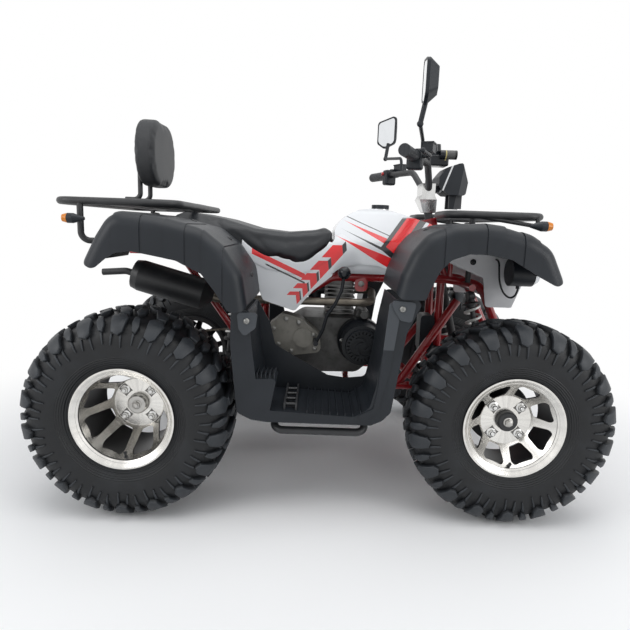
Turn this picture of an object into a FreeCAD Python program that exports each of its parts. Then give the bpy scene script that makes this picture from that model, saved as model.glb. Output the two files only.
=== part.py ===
"""Quad bike: a full-size sport and utility four-wheeler.

Millimetres. +X is the front of the vehicle, +Y its left side, +Z up. The origin lies on the
floor, halfway between the two axles. Side views are outlines in X and Z, given as shares of
the length and height of the piece that they draw.
"""
import FreeCAD
import Part
import math
import os

Vector = FreeCAD.Vector
X_AXIS = Vector(1, 0, 0)
Y_AXIS = Vector(0, 1, 0)
Z_AXIS = Vector(0, 0, 1)

# Stance
wheelbase = 1070.0
front_axle_x = wheelbase / 2
rear_axle_x = -wheelbase / 2
front_track = 816.0
rear_track = 810.0
tyre_radius = 292.0
seat_gap = 0.3
pin_gap = 1.0
overrun = 20.0

# Tyres
front_tyre_width = 178.0
rear_tyre_width = 250.0
lug_height = 16.0
lug_length = 40.0
pitches = 18
lug_skew_share = 0.2
lug_crown_share = 0.82
lug_reach_share = 0.08
carcass_shares = [(1.0, 0.55), (0.74, 1.0)]
lug_foot_shares = [(-0.08, 0.93), (0.9, 0.68)]

# Rims
rim_seat_radius = 127.0
rim_lip_radius = 142.0
front_rim_width = 154.0
rear_rim_width = 222.0
rim_wall = 5.0
rim_flange = 7.0
front_dish_depth = 70.0
rear_dish_depth = 142.0
disc_wall = 9.0
hub_face_radius = 72.0
hub_bore_radius = 30.0
spoke_count = 8
window_inner_radius = 76.0
window_outer_radius = 114.0

# Hubs, brakes and rear axle
hub_cap_radius = 29.0
hub_cap_height = 20.0
hub_flange_radius = 68.0
hub_flange_wall = 10.0
hub_barrel_radius = 34.0
front_hub_length = 58.0
stud_circle_radius = 55.0
stud_radius = 7.5
stud_length = 14.0
stud_count = 4
brake_disc_radius = 92.0
brake_disc_wall = 4.0
spindle_radius = 12.5
axle_radius = 17.5
sprocket_radius = 92.0
sprocket_root_radius = 86.0
sprocket_wall = 6.0
sprocket_y = 168.0
rear_brake_radius = 98.0
carrier_radius = 44.0
carrier_length = 190.0
caliper_gap = 7.0
caliper_jaw = 11.0
caliper_reach = 20.0
caliper_depth = 32.0
caliper_half_width = 26.0
caliper_arm_wall = 7.0
caliper_arm_half_width = 12.0

# Steering
kingpin_y = 322.0
kingpin_radius = 9.0
joint_boss_radius = 15.0
joint_boss_height = 28.0
lower_joint_z = 222.0
upper_joint_z = 362.0
knuckle_radius = 15.0
knuckle_arm_length = 90.0
knuckle_arm_inset = 8.0
knuckle_arm_width = 26.0
knuckle_arm_wall = 12.0
pitman_length = 78.0
pitman_half_width = 20.0
pitman_wall = 10.0
stem_top_offset = 190.0
stem_top_x = front_axle_x - stem_top_offset
stem_top_z = 925.0
stem_foot_offset = 30.0
stem_foot_x = front_axle_x - stem_foot_offset
stem_foot_z = 340.0
stem_radius = 14.0
bearing_radius = 24.0
bearing_length = 34.0
head_tube_top_z = 862.0
head_tube_low_z = 700.0
column_gap = 6.0
eye_radius = 15.0
eye_bore_radius = 10.2
eye_height = 14.0
eye_pin_radius = 4.5
tie_rod_radius = 7.0

# Handlebar and what it carries
bar_radius = 11.0
bar_bend = 60.0
bar_clamp_half_width = 50.0
bar_rise_y = 130.0
bar_rise_z = 1030.0
bar_rise_setback = 27.0
bar_rise_x = stem_top_x - bar_rise_setback
bar_sweep_y = 232.0
bar_sweep_setback = 75.0
bar_sweep_x = stem_top_x - bar_sweep_setback
bar_end_y = 392.0
bar_end_setback = 142.0
bar_end_x = stem_top_x - bar_end_setback
bar_end_z = 1031.0
grip_radius = 17.0
grip_length = 118.0
riser_length = 79.0
riser_radius = 22.0
riser_half_width = 46.0
riser_waist_half_width = 22.0
riser_shoulder_radius = 29.0
riser_shoulder_drop = 36.0
bar_rise_height = 36.0
flange_radius = 32.0
flange_wall = 6.0

# Chassis tubes
frame_tube_radius = 14.0
cross_tube_radius = 11.0
frame_bend = 60.0
frame_half_width = 138.0
rail_z = 300.0
rear_rail_offset = 320.0
rear_rail_x = rear_axle_x + rear_rail_offset
front_rail_offset = 273.0
front_rail_x = front_axle_x - front_rail_offset
arm_tube_radius = 11.0
arm_pivot_y = 108.0
arm_back_offset = 135.0
arm_back_x = front_axle_x - arm_back_offset
arm_front_offset = 77.0
arm_front_x = front_axle_x + arm_front_offset
bush_radius = 14.0
bush_half_length = 22.0
lower_pivot_z = 268.0
upper_pivot_z = 420.0
nose_frame_offset = 120.0
nose_frame_x = front_axle_x + nose_frame_offset
shock_top_offset = 65.0
shock_top_x = front_axle_x - shock_top_offset
shock_top_y = 192.0
shock_top_z = 620.0
shock_foot_offset = 1.0
shock_foot_x = front_axle_x + shock_foot_offset
shock_foot_y = 236.0
shock_spring_radius = 26.0
shock_rod_radius = 9.0
shock_bar_radius = 9.0
pivot_offset = 365.0
pivot_x = rear_axle_x + pivot_offset
plate_wall = 9.0
mount_share = 0.8
hitch_reach = 84.0
hitch_width = 54.0
hitch_wall = 8.0
hitch_hole_radius = 8.5
pivot_z = 345.0
pivot_radius = 20.0
beam_radius = 16.0
bridge_radius = 13.0
bridge_share = 0.45
rear_frame_offset = 50.0
rear_frame_x = rear_axle_x - rear_frame_offset

stay_radius = 8.0
front_stay_offset = 110.0
front_stay_x = front_axle_x - front_stay_offset
rear_stay_offset = 15.0
rear_stay_x = rear_axle_x + rear_stay_offset

# Racks
rack_tube_radius = 11.0
rack_half_width = 330.0
rack_bend = 50.0
rear_rack_back_offset = 245.0
rear_rack_back_x = rear_axle_x - rear_rack_back_offset
rear_rack_front_offset = 104.0
rear_rack_front_x = rear_axle_x + rear_rack_front_offset
rear_rack_z = 872.0
front_rack_back_offset = 183.0
front_rack_back_x = front_axle_x - front_rack_back_offset
front_rack_front_offset = 88.0
front_rack_front_x = front_axle_x + front_rack_front_offset
front_rack_z = 870.0
low_rail_radius = 6.0
low_rail_drop = 27.0
low_rail_inset = 20.0
rack_leg_radius = 9.0
rack_plate_wall = 5.0
rack_plate_half_width = 70.0
rack_plate_hole_radius = 4.5
rack_plate_spacing_x = 60.0
rack_plate_spacing_y = 90.0

# Body panels
panel_wall = 4.0
panel_bend = 70.0
panel_step = 2.5
shoulder_radius = 34.0
fender_inner_y = 196.0
rear_fender_outer_y = 528.0
rear_fender_back_offset = 92.0
rear_fender_back_x = rear_axle_x - rear_fender_back_offset
rear_fender_length = 433.0
rear_fender_low_z = 597.0
rear_fender_height = 246.0
front_fender_outer_y = 500.0
front_fender_back_offset = 350.0
front_fender_back_x = front_axle_x - front_fender_back_offset
front_fender_length = 443.0
front_fender_low_z = 641.0
front_fender_height = 202.0
footwell_outer_y = 480.0
footwell_inner_y = 262.0
footwell_back_offset = 278.0
footwell_back_x = rear_axle_x + footwell_back_offset
footwell_front_reach = 66.0
footwell_length = front_fender_back_x + footwell_front_reach - footwell_back_x
footwell_low_z = 286.0
footwell_height = 352.0

# Seat and tank cover
seat_half_width = 172.0
seat_back_offset = 37.0
seat_back_x = rear_axle_x + seat_back_offset
seat_length = 526.0
seat_low_z = 700.0
seat_height = 154.0
seat_bend = 60.0
tank_half_width = 176.0
tank_gap = 2.0
tank_front_reach = 31.0
tank_back_x = seat_back_x + seat_length + tank_gap
tank_length = stem_top_x + tank_front_reach - tank_back_x
tank_low_z = 676.0
tank_height = 212.0
cap_radius = 30.0
cap_height = 14.0

# Suspension details
spring_turns = 8
shock_eye_radius = 16.0

# Engine, intake and exhaust
engine_half_width = 112.0
engine_back_gap = 75.0
engine_back_x = rear_rail_x + engine_back_gap
engine_length_share = 0.692
engine_length = engine_length_share * (front_rail_x - rear_rail_x)
engine_low_z = 330.0
engine_height = 190.0
engine_bend = 40.0
steady_half_width = 21.0
steady_drop = 46.0
steady_wall = 6.0
steady_bolt_radius = 9.0
steady_share = 0.8
canister_length = 48.0
canister_height = 128.0
canister_half_width = 34.0
canister_drop = 12.0
canister_bend = 14.0
engine_shares = [
    (0.02, 0.35), (0.0, 0.75), (0.22, 1.0), (0.8, 1.0), (1.0, 0.72), (0.98, 0.3), (0.8, 0.02), (0.2, 0.0),
]
cover_back_reach = 38.0
cover_back_x = engine_back_x - cover_back_reach
cover_length = 178.0
cover_low_z = 400.0
cover_height = 140.0
cover_depth = 64.0
cover_shares = [(0.0, 0.7), (0.29, 1.0), (0.6, 0.9), (0.96, 0.53), (1.0, 0.1), (0.43, 0.0), (0.12, 0.2)]
cover_boss_share = 0.663
cover_boss_x = cover_back_x + cover_boss_share * cover_length
cover_boss_z = 462.0
cover_boss_radius = 32.0
fan_share = 0.818
fan_x = engine_back_x + fan_share * engine_length
fan_z = 450.0
fan_radius = 72.0
fan_depth = 116.0
fan_slots = 24
fan_face_radius = 54.0
fan_slot_inner_radius = 40.0
fan_slot_outer_radius = 49.0
fan_slot_width = 5.0
fan_slot_depth = 9.0
fan_blades = 3
fan_blade_radius = 25.0
fan_blade_inner_radius = 22.0
fan_blade_offset = 14.0
fan_blade_shift = 9.0
fan_blade_depth = 6.0
starter_radius = 24.0
starter_length = 90.0
starter_rise = 10.0
starter_nose_radius = 13.0
starter_nose_rise = 12.0
starter_nose_length = 58.0
starter_share = 0.84
cover_bolt_radius = 8.0
cover_bolt_rise = 5.0
cover_bolt_share = 0.24
cylinder_share = 0.606
cylinder_x = engine_back_x + cylinder_share * engine_length
cylinder_width = 104.0
fin_count = 8
fin_wall = 4.0
fin_pitch = 14.0
inlet_radius = 19.0
inlet_length = 70.0
air_box_length = 120.0
air_box_half_width = 90.0
air_box_height = 70.0
pipe_radius = 13.0
pipe_bend = 45.0
muffler_y = -223.0
muffler_radius = 49.0
muffler_front_offset = 190.0
muffler_front_x = rear_axle_x + muffler_front_offset
muffler_front_z = 592.0
muffler_back_offset = 55.0
muffler_back_x = rear_axle_x - muffler_back_offset
muffler_back_z = 658.0

# Gear lever
gear_shaft_radius = 8.0
gear_rod_radius = 5.5
gear_knob_radius = 20.0
gear_foot_share = 0.892
gear_foot_z = 455.0
gear_shaft_length = 46.0
gear_reach = 81.0
gear_rise = 229.0
gear_lean = 26.0
gear_shares = [
    (0.0, 0.0, 0.0), (0.26, 0.3, 0.2), (0.4, 0.6, 0.41), (0.71, 0.9, 0.58), (0.93, 1.0, 0.77), (1.0, 1.0, 1.0),
]

# Chain
small_sprocket_inset = 50.0
small_sprocket_x = engine_back_x + small_sprocket_inset
small_sprocket_z = 400.0
small_sprocket_radius = 34.0
chain_gap = 5.5
chain_height = 9.0
chain_width = 10.0
rear_chain_facets = 12
front_chain_facets = 6

# Cable of the right headlamp: its route, from the cowl down in a loop and up to the lamp
cable_radius = 3.0
cable_bend = 500.0
grommet_radius = 8.0
grommet_height = 3.0
socket_radius = 7.0
socket_height = 8.0
socket_ahead = 32.0
cable_end_gap = 0.9
lamp_cable_offsets = [
    (-52.0, 63.0, 83.9), (-52.0, 36.0, 83.9), (-51.0, 31.0, 50.9), (-48.0, 28.0, 17.9),
    (-38.0, 21.0, -14.1), (-18.0, 12.0, -32.1), (-2.0, 3.0, -20.1), (0.0, 0.0, 0.0),
]

# Outlines of the seat, the tank cover and the body panels
seat_low_shares = [(1.0, 0.58), (0.98, 0.42), (0.85, 0.04), (0.78, 0.0), (0.6, 0.07), (0.42, 0.27), (0.0, 0.48)]
seat_top_shares = [
    (0.0, 0.94), (0.04, 1.0), (0.15, 0.97), (0.32, 0.87), (0.52, 0.68), (0.71, 0.62), (0.89, 0.68), (1.0, 0.79),
]
tank_shares = [
    (0.0, 0.0), (0.0, 0.69), (0.1, 0.85), (0.21, 0.96), (0.35, 1.0), (0.55, 0.97), (0.73, 0.88),
    (0.9, 0.79), (1.0, 0.7), (0.94, 0.3), (0.6, 0.0),
]
cap_share = 0.4624
cap_x = tank_back_x + cap_share * tank_length
cap_sink = 12.0
panel_back_offset = 262.0
panel_back_x = rear_axle_x + panel_back_offset
panel_front_gap = 3.0
panel_length = tank_back_x - panel_front_gap - panel_back_x
panel_low_z = 552.0
panel_height = 190.0
panel_thickness = 16.0
panel_shares = [
    (0.0, 0.98), (0.22, 0.35), (0.27, 0.17), (0.61, 0.0), (0.8, 0.36), (1.0, 0.62), (0.99, 0.99),
    (0.96, 0.99), (0.75, 0.78), (0.62, 0.72), (0.3, 0.8), (0.04, 1.0),
]
deck_back_offset = 87.0
deck_back_x = rear_axle_x - deck_back_offset
deck_length = 118.0
deck_low_z = 812.0
deck_height = 30.0
deck_shares = [(0.27, 0.0), (0.5, 0.5), (0.76, 1.03), (1.0, 0.95)]
nose_back_offset = 145.0
nose_back_x = front_axle_x - nose_back_offset
nose_length = 250.0
nose_low_z = 586.0
nose_height = 257.0
nose_shares = [(0.0, 0.98), (0.3, 1.0), (0.6, 0.9), (0.84, 0.7), (1.0, 0.4), (0.85, 0.0)]
nose_side_shares = [(0.52, 0.0), (0.46, 0.36), (0.02, 0.53)]
grille_half_width = 122.0
grille_slot = 8.0
grille_pitch = 15.0
grille_slots = 5
grille_low_share = 0.08
grille_depth_share = 0.4
footwell_outer_shares = [
    (0.014, 0.62), (0.053, 0.07), (0.13, 0.015), (0.22, 0.0), (0.78, 0.0), (0.84, 0.04),
    (0.885, 0.11), (0.9, 0.27), (0.945, 0.74),
]
heel_depth = 95.0
heel_fin_count = 6
heel_fin_wall = 3.0
heel_fin_height = 14.0
heel_fin_length = 64.0
floor_rib_count = 8
floor_rib_wall = 3.0
floor_rib_height = 8.0
facet_rise = 3.0
corner_rise = 3.0
heel_shares = [(0.07, 0.075), (0.045, 0.34), (0.264, 0.352), (0.228, 0.07)]
heel_fin_start_share = 0.14
heel_fin_end_share = 0.255
heel_top_share = 0.35
floor_rib_start_share = 0.43
floor_rib_end_share = 0.72
front_facet_shares = [
    (0.845, 0.98), (0.9, 0.98), (0.9, 0.84), (0.868, 0.45), (0.815, 0.12), (0.745, 0.02), (0.7, 0.07),
    (0.79, 0.14), (0.81, 0.32),
]
front_corner_shares = [(0.85, 0.995), (0.985, 0.985), (0.965, 0.83), (0.905, 0.845), (0.87, 0.92)]
rear_corner_shares = [(0.05, 0.865), (0.16, 0.865), (0.15, 0.75), (0.09, 0.68), (0.06, 0.74)]
footwell_inner_shares = [
    (0.13, 0.6), (0.17, 0.16), (0.22, 0.095), (0.69, 0.065), (0.77, 0.14), (0.8, 0.32), (0.84, 0.78),
]
footwell_wall_shares = [
    (0.19, 0.67), (0.22, 0.485), (0.38, 0.35), (0.55, 0.22), (0.66, 0.2), (0.78, 0.22), (0.82, 0.5),
]

# Rack legs, backrest, lamps and instruments
rack_leg_y = 150.0
rack_leg_offset = 171.0
rack_leg_x = rear_axle_x - rack_leg_offset
foot_rail_back_share = 0.25
foot_rail_front_share = 0.757
foot_rail_back_x = footwell_back_x + foot_rail_back_share * footwell_length
foot_rail_front_x = footwell_back_x + foot_rail_front_share * footwell_length
foot_rail_y = 440.0
foot_rail_drop = 26.0
foot_rail_shoulder = 50.0
peg_x_share = 0.34
peg_gauge = 32.0
peg_bar_wall = 5.0
peg_bar_height = 20.0
peg_inset = 12.0
peg_rung_radius = 5.0
peg_rungs = 4
backrest_offset = 91.0
backrest_x = rear_axle_x - backrest_offset
backrest_post_y = 52.0
backrest_post_radius = 8.0
pad_low_z = 930.0
pad_height = 228.0
pad_half_width = 145.0
pad_thickness = 60.0
lamp_back_offset = 25.0
lamp_back_x = front_axle_x + lamp_back_offset
lamp_length = 84.0
lamp_radius = 42.0
lamp_face_depth = 16.0
lamp_y = 262.0
lamp_z = 705.0
tail_depth = 60.0
tail_half_width = 115.0
tail_height = 34.0
signal_length = 60.0
signal_radius = 14.0
signal_lens_length = 14.0
signal_stalk_radius = 5.0
signal_stalk_length = 20.0
gauge_radius = 26.0
gauge_height = 50.0
gauge_rise = 60.0
gauge_ahead = 19.0
gauge_tilt = 6.0
gauge_base_length = 64.0
gauge_base_half_width = 30.0
gauge_base_height = 36.0
horn_radius = 15.0
horn_length = 56.0
pod_gap = 9.0
pod_length = 96.0
pod_half_width = 56.0
pod_low_offset = 15.0
pod_height = 106.0
pod_leg_half_width = 24.0
pod_leg_drop = 43.0
pod_shares = [
    (0.0, 0.57), (0.25, 0.85), (0.65, 0.98), (0.79, 1.0), (1.0, 0.41), (0.94, 0.0), (0.34, 0.02), (0.0, 0.24),
]
pod_leg_shares = [(0.45, 0.0), (0.9, 0.0)]
mirror_setback = 102.0
mirror_x = stem_top_x - mirror_setback
mirror_y = 385.0
mirror_z = 1211.0
mirror_width = 92.0
mirror_height = 126.0
mirror_rise = 46.0
mirror_rim_depth = 9.0
mirror_depth = 34.0
mirror_bend = 14.0
mirror_sink = 2.5
mirror_right_turn = 5.0
mirror_left_turn = 44.0
mirror_ball_radius = 9.0
mirror_stem_radius = 5.5
mirror_neck_radius = 7.0
mirror_joint_drop = 106.0
mirror_shares = [(-0.5, -0.36), (0.1, -0.5), (0.5, -0.32), (0.5, 0.36), (-0.5, 0.5)]
mirror_back_share = 0.62
mirror_glass_share = 0.9
mirror_base_share = 0.7
housing_radius = 20.0
housing_length = 34.0
switch_depth = 46.0
switch_drop = 38.0
switch_wall = 8.0
reservoir_length = 46.0
reservoir_width = 30.0
reservoir_height = 24.0
reservoir_ahead = 34.0
reservoir_rise = 14.0
lever_ball_radius = 7.0
lever_reach = 46.0
lever_length = 120.0
lever_radius = 5.0

# Shares and counts that shape the smaller parts
corner_room_share = 0.45
window_inner_share = 0.55
window_outer_share = 0.78
window_start = 22.5
stud_start = 45.0
hub_cap_tip_share = 0.86
rear_hub_length = hub_flange_wall * 4
upright_share = 0.86
shoulder_bends = 2.5
seat_rail_bends = 1.5
pivot_plate_share = 1.5
engine_mount_shares = [0.3, 0.7]
strut_root_share = 0.7
strut_radius_share = 0.8
shock_body_shares = [0.12, 0.5]
shock_body_share = 1.8
spring_low_share = 0.2
spring_span_share = 0.62
spring_wire_share = 0.9
fan_dome_shares = [(0.0, 1.06), (0.35, 1.06), (0.5, 0.96), (0.9, 0.9)]
fan_rim_share = 0.9
fan_face_chamfer = overrun / 8
head_half_share = 0.4
bowl_radius = inlet_radius * 1.2
bowl_height = inlet_radius * 3
bowl_drop = inlet_radius * 2
port_run_share = 1.4
muffler_shares = [(0.12, 1.0), (0.92, 1.0), (1.0, 0.9)]
spout_root_share = 0.95
spout_run_share = 0.6
spout_radius_share = 0.8
tank_shoulder_share = 0.45
tank_crown_share = 0.45
front_bar_bends = 1.6
pad_corner_share = 0.7

parts = {}


def deg(radians):
    return radians * 180 / math.pi


def keep(name, *solids):
    """Store one node: a solid, or several that do not touch."""
    shape = solids[0] if len(solids) == 1 else Part.makeCompound(list(solids))
    parts[name] = shape


def mirrored(shape):
    """The same piece on the other side of the vehicle."""
    return shape.mirror(Vector(0, 0, 0), Y_AXIS)


def fused(solids):
    """One solid from pieces that are welded or moulded together."""
    solids = list(solids)
    return solids[0].multiFuse(solids[1:]).removeSplitter()


def corner_arc(before, corner, after, radius):
    """The tangent arc at a corner, as its start, middle and end."""
    back = (before - corner).normalize()
    ahead = (after - corner).normalize()
    turn = math.pi - back.getAngle(ahead)
    room = corner_room_share * min(corner.distanceToPoint(before), corner.distanceToPoint(after))
    reach = min(room, radius * math.tan(turn / 2))
    arc_radius = reach / math.tan(turn / 2)
    bisector = (back + ahead).normalize()
    middle = corner + bisector * (arc_radius / math.cos(turn / 2) - arc_radius)
    return corner + back * reach, middle, corner + ahead * reach


def rounded_edges(points, radius, closed):
    """Straight edges joined by tangent arcs."""
    count = len(points)
    corners = range(count) if closed else range(1, count - 1)
    arcs = {i: corner_arc(points[i - 1], points[i], points[(i + 1) % count], radius) for i in corners}
    edges = []
    for i in range(count if closed else count - 1):
        start = arcs[i][2] if i in arcs else points[i]
        following = (i + 1) % count
        end = arcs[following][0] if following in arcs else points[following]
        edges.append(Part.LineSegment(start, end).toShape())
        if following in arcs:
            edges.append(Part.Arc(*arcs[following]).toShape())
    return edges


def outline_face(points, radius=0.0):
    """A flat face with its corners rounded by arcs, or left sharp."""
    if radius:
        return Part.Face(Part.Wire(rounded_edges(points, radius, True)))
    return Part.Face(Part.makePolygon(list(points) + [points[0]]))


def side_points(shares, back_x, length, low_z, height, y=0.0):
    """Outline points in the side view."""
    return [Vector(back_x + length * along, y, low_z + height * up) for along, up in shares]


def slab(points, low_y, high_y, radius=0.0):
    """A side-view outline, extruded across the vehicle from low_y to high_y."""
    moved = [Vector(p.x, low_y, p.z) for p in points]
    return outline_face(moved, radius).extrude(Vector(0, high_y - low_y, 0))


def offset_path(points, distance):
    """A side-view path moved sideways by distance, with mitred corners."""
    moved = []
    for i, point in enumerate(points):
        normals = []
        if i > 0:
            way = (point - points[i - 1]).normalize()
            normals.append(Vector(-way.z, 0, way.x))
        if i < len(points) - 1:
            way = (points[i + 1] - point).normalize()
            normals.append(Vector(-way.z, 0, way.x))
        mean = sum(normals, Vector(0, 0, 0)).normalize()
        moved.append(point + mean * (distance / mean.dot(normals[0])))
    return moved


def sheet(points, wall, low_y, high_y, bend):
    """A bent sheet: a side-view path with a wall thickness, wide from low_y to high_y."""
    base = [Vector(p.x, low_y, p.z) for p in points]
    outer = Part.Wire(rounded_edges(base, bend, False))
    inner = Part.Wire(rounded_edges(offset_path(base, -wall), bend, False))
    first = Part.LineSegment(base[0], offset_path(base, -wall)[0]).toShape()
    last = Part.LineSegment(base[-1], offset_path(base, -wall)[-1]).toShape()
    ring = Part.Wire(Part.__sortEdges__(outer.Edges + inner.Edges + [first, last]))
    return Part.Face(ring).extrude(Vector(0, high_y - low_y, 0))


def rod(start, end, radius):
    """A round bar from one point to another."""
    way = end - start
    return Part.makeCylinder(radius, way.Length, start, way)


def tube(points, radius, bend):
    """A bent round tube: straight runs and tangent bends."""
    pieces = []
    position = points[0]
    for i in range(1, len(points) - 1):
        start, middle, end = corner_arc(points[i - 1], points[i], points[i + 1], bend)
        if (start - position).Length > seat_gap:
            pieces.append(rod(position, start, radius))
        bend_edge = Part.Arc(start, middle, end).toShape()
        circle = bend_edge.Curve
        first, last = bend_edge.ParameterRange
        section = Part.Face(Part.Wire(Part.Circle(start, circle.tangent(first)[0], radius).toShape()))
        pieces.append(section.revolve(circle.Center, circle.Axis, deg(last - first)))
        position = end
    pieces.append(rod(position, points[-1], radius))
    return fused(pieces) if len(pieces) > 1 else pieces[0]


def turned(profile, centre=Vector(0, 0, 0)):
    """A solid turned about the Y axis from (y, radius) points."""
    points = [Vector(0, y, r) for y, r in profile]
    solid = outline_face(points).revolve(Vector(0, 0, 0), Y_AXIS, 360)
    return solid.translate(centre)


def around_y(shape, count, start=0.0):
    """Copies of a piece, evenly spaced about the Y axis."""
    copies = []
    for i in range(count):
        copy = shape.copy()
        copy.rotate(Vector(0, 0, 0), Y_AXIS, start + 360.0 * i / count)
        copies.append(copy)
    return copies


# Tyres: a many-sided carcass with chevron lugs that stand on it
def ring_solid(profile, sides):
    """A solid ring about the Y axis with flat sides, from a closed profile of (y, radius) points."""
    half_turn = math.pi / sides

    def corner(y, radius, side):
        turn = (2 * side + 1) * half_turn
        return Vector(radius * math.sin(turn), y, radius * math.cos(turn))

    faces = []
    for (y, radius), (next_y, next_radius) in zip(profile, profile[1:] + profile[:1]):
        for side in range(sides):
            faces.append(Part.Face(Part.makePolygon([
                corner(y, radius, side), corner(y, radius, side + 1),
                corner(next_y, next_radius, side + 1), corner(next_y, next_radius, side),
                corner(y, radius, side),
            ])))
    ring = Part.Solid(Part.makeShell(faces))
    if ring.Volume < 0:
        ring.reverse()
    return ring


def tyre(width, rim_width):
    sides = 2 * pitches
    facet = math.cos(math.pi / sides)
    carcass_radius = tyre_radius - lug_height
    half = width / 2
    bead_half = rim_width / 2 - rim_flange - seat_gap
    base = rim_seat_radius + seat_gap
    depth = carcass_radius - base
    right = [(bead_half, base / facet), (bead_half, (rim_lip_radius + seat_gap) / facet)]
    right += [(half * out, (base + depth * up) / facet) for out, up in carcass_shares]
    profile = right + [(-y, radius) for y, radius in reversed(right)]
    carcass = ring_solid(profile, sides)

    skew = half * lug_skew_share
    points = [Vector(-lug_length / 2, half * out, base + depth * up) for out, up in lug_foot_shares]
    points.append(Vector(-lug_length / 2, half * lug_crown_share, tyre_radius))
    points.append(Vector(-lug_length / 2, -half * lug_reach_share, tyre_radius))
    lug = outline_face(points).extrude(Vector(lug_length, skew, 0)).translate(Vector(0, -skew / 2, 0))
    other = mirrored(lug)
    other.rotate(Vector(0, 0, 0), Y_AXIS, math.degrees(math.pi / pitches))
    return carcass.multiFuse(around_y(lug, pitches) + around_y(other, pitches))


# Rims: a barrel with two lips and a dished disc with windows between its spokes
def rim(width, dish_depth):
    half = width / 2
    inner = half - rim_flange
    bore = rim_seat_radius - rim_wall
    barrel = turned([
        (-half, rim_lip_radius), (-inner, rim_lip_radius), (-inner, rim_seat_radius),
        (inner, rim_seat_radius), (inner, rim_lip_radius), (half, rim_lip_radius),
        (half, rim_lip_radius - rim_wall), (inner - rim_wall, bore),
        (-inner + rim_wall, bore), (-half, rim_lip_radius - rim_wall),
    ])
    face_y = half - dish_depth
    rim_edge_y = inner - rim_wall
    dish = turned([
        (face_y, hub_bore_radius), (face_y, hub_face_radius), (rim_edge_y, bore + rim_wall / 2),
        (rim_edge_y - disc_wall, bore + rim_wall / 2), (face_y - disc_wall, hub_face_radius),
        (face_y - disc_wall, hub_bore_radius),
    ])
    half_turn = math.pi / spoke_count
    inner_half = window_inner_radius * math.tan(half_turn) * window_inner_share
    outer_half = window_outer_radius * math.tan(half_turn) * window_outer_share
    window = Part.Face(Part.Wire(rounded_edges([
        Vector(-inner_half, -half, window_inner_radius),
        Vector(inner_half, -half, window_inner_radius),
        Vector(outer_half, -half, window_outer_radius),
        Vector(-outer_half, -half, window_outer_radius),
    ], window_inner_radius / 8, True))).extrude(Vector(0, width, 0))
    stud_hole = rod(Vector(0, -half, stud_circle_radius), Vector(0, half, stud_circle_radius),
                    stud_radius + pin_gap)
    stud_holes = around_y(stud_hole, stud_count, stud_start)
    disc = dish.cut(around_y(window, spoke_count, window_start)).cut(stud_holes)
    return barrel.fuse(disc).removeSplitter()


# Hubs: cap, studs and flange, and at the front the brake disc
def hub_core(length):
    """Flange face at y = 0, where the disc of the rim sits on it; the cap points to +y."""
    through = disc_wall + hub_cap_height
    profile = [
        (through, 0), (through, hub_cap_radius * hub_cap_tip_share), (through - hub_cap_height / 4, hub_cap_radius),
        (0, hub_cap_radius), (0, hub_flange_radius), (-hub_flange_wall, hub_flange_radius),
        (-hub_flange_wall, hub_barrel_radius), (-length, hub_barrel_radius), (-length, 0),
    ]
    core = turned(profile)
    stud = rod(Vector(0, -hub_flange_wall / 2, stud_circle_radius),
               Vector(0, disc_wall + stud_length, stud_circle_radius), stud_radius)
    return fused([core] + around_y(stud, stud_count, stud_start))


def front_hub():
    core = hub_core(front_hub_length)
    disc_y = -front_hub_length + brake_disc_wall
    disc = turned([
        (disc_y, 0), (disc_y, brake_disc_radius),
        (disc_y - brake_disc_wall, brake_disc_radius), (disc_y - brake_disc_wall, 0),
    ])
    hole = rod(Vector(0, -front_hub_length, 0), Vector(0, -hub_flange_wall / 2, 0), spindle_radius + pin_gap)
    return fused([core, disc]).cut(hole)


front_wheel = Vector(front_axle_x, front_track / 2, tyre_radius)
rear_wheel = Vector(rear_axle_x, rear_track / 2, tyre_radius)
front_hub_y = front_track / 2 + front_rim_width / 2 - front_dish_depth - disc_wall
rear_hub_y = rear_track / 2 + rear_rim_width / 2 - rear_dish_depth - disc_wall


def both_sides(name, shape):
    keep(name + "_left", shape)
    keep(name + "_right", mirrored(shape))


def make_wheels():
    both_sides("front_tyre", tyre(front_tyre_width, front_rim_width).translate(front_wheel))
    both_sides("rear_tyre", tyre(rear_tyre_width, rear_rim_width).translate(rear_wheel))
    both_sides("front_rim", rim(front_rim_width, front_dish_depth).translate(front_wheel))
    both_sides("rear_rim", rim(rear_rim_width, rear_dish_depth).translate(rear_wheel))
    both_sides("front_hub", front_hub().translate(Vector(front_axle_x, front_hub_y, tyre_radius)))


def make_rear_axle():
    centre = Vector(rear_axle_x, 0, tyre_radius)
    end = Vector(0, rear_hub_y - hub_flange_wall / 2, 0)
    shaft = rod(centre - end, centre + end, axle_radius)
    left = hub_core(rear_hub_length).translate(Vector(rear_axle_x, rear_hub_y, tyre_radius))
    teeth = turned([
        (-sprocket_wall / 2, 0), (-sprocket_wall / 2, sprocket_root_radius), (0, sprocket_radius),
        (sprocket_wall / 2, sprocket_root_radius), (sprocket_wall / 2, 0),
    ], Vector(rear_axle_x, sprocket_y, tyre_radius))
    disc = turned([
        (-brake_disc_wall / 2, 0), (-brake_disc_wall / 2, rear_brake_radius),
        (brake_disc_wall / 2, rear_brake_radius), (brake_disc_wall / 2, 0),
    ], Vector(rear_axle_x, -sprocket_y, tyre_radius))
    keep("rear_axle", fused([shaft, left, mirrored(left), teeth, disc]))


# Steering line: from the handlebar clamp down to the pitman arm
stem_top = Vector(stem_top_x, 0, stem_top_z)
stem_foot = Vector(stem_foot_x, 0, stem_foot_z)
stem_way = (stem_foot - stem_top).normalize()
stem_back = Vector(stem_way.z, 0, -stem_way.x)
pitman_pin = stem_foot + stem_back * pitman_length
kingpin = Vector(front_axle_x, kingpin_y, tyre_radius)
knuckle_pin = Vector(front_axle_x - knuckle_arm_length, kingpin_y - knuckle_arm_inset, pitman_pin.z)


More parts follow.
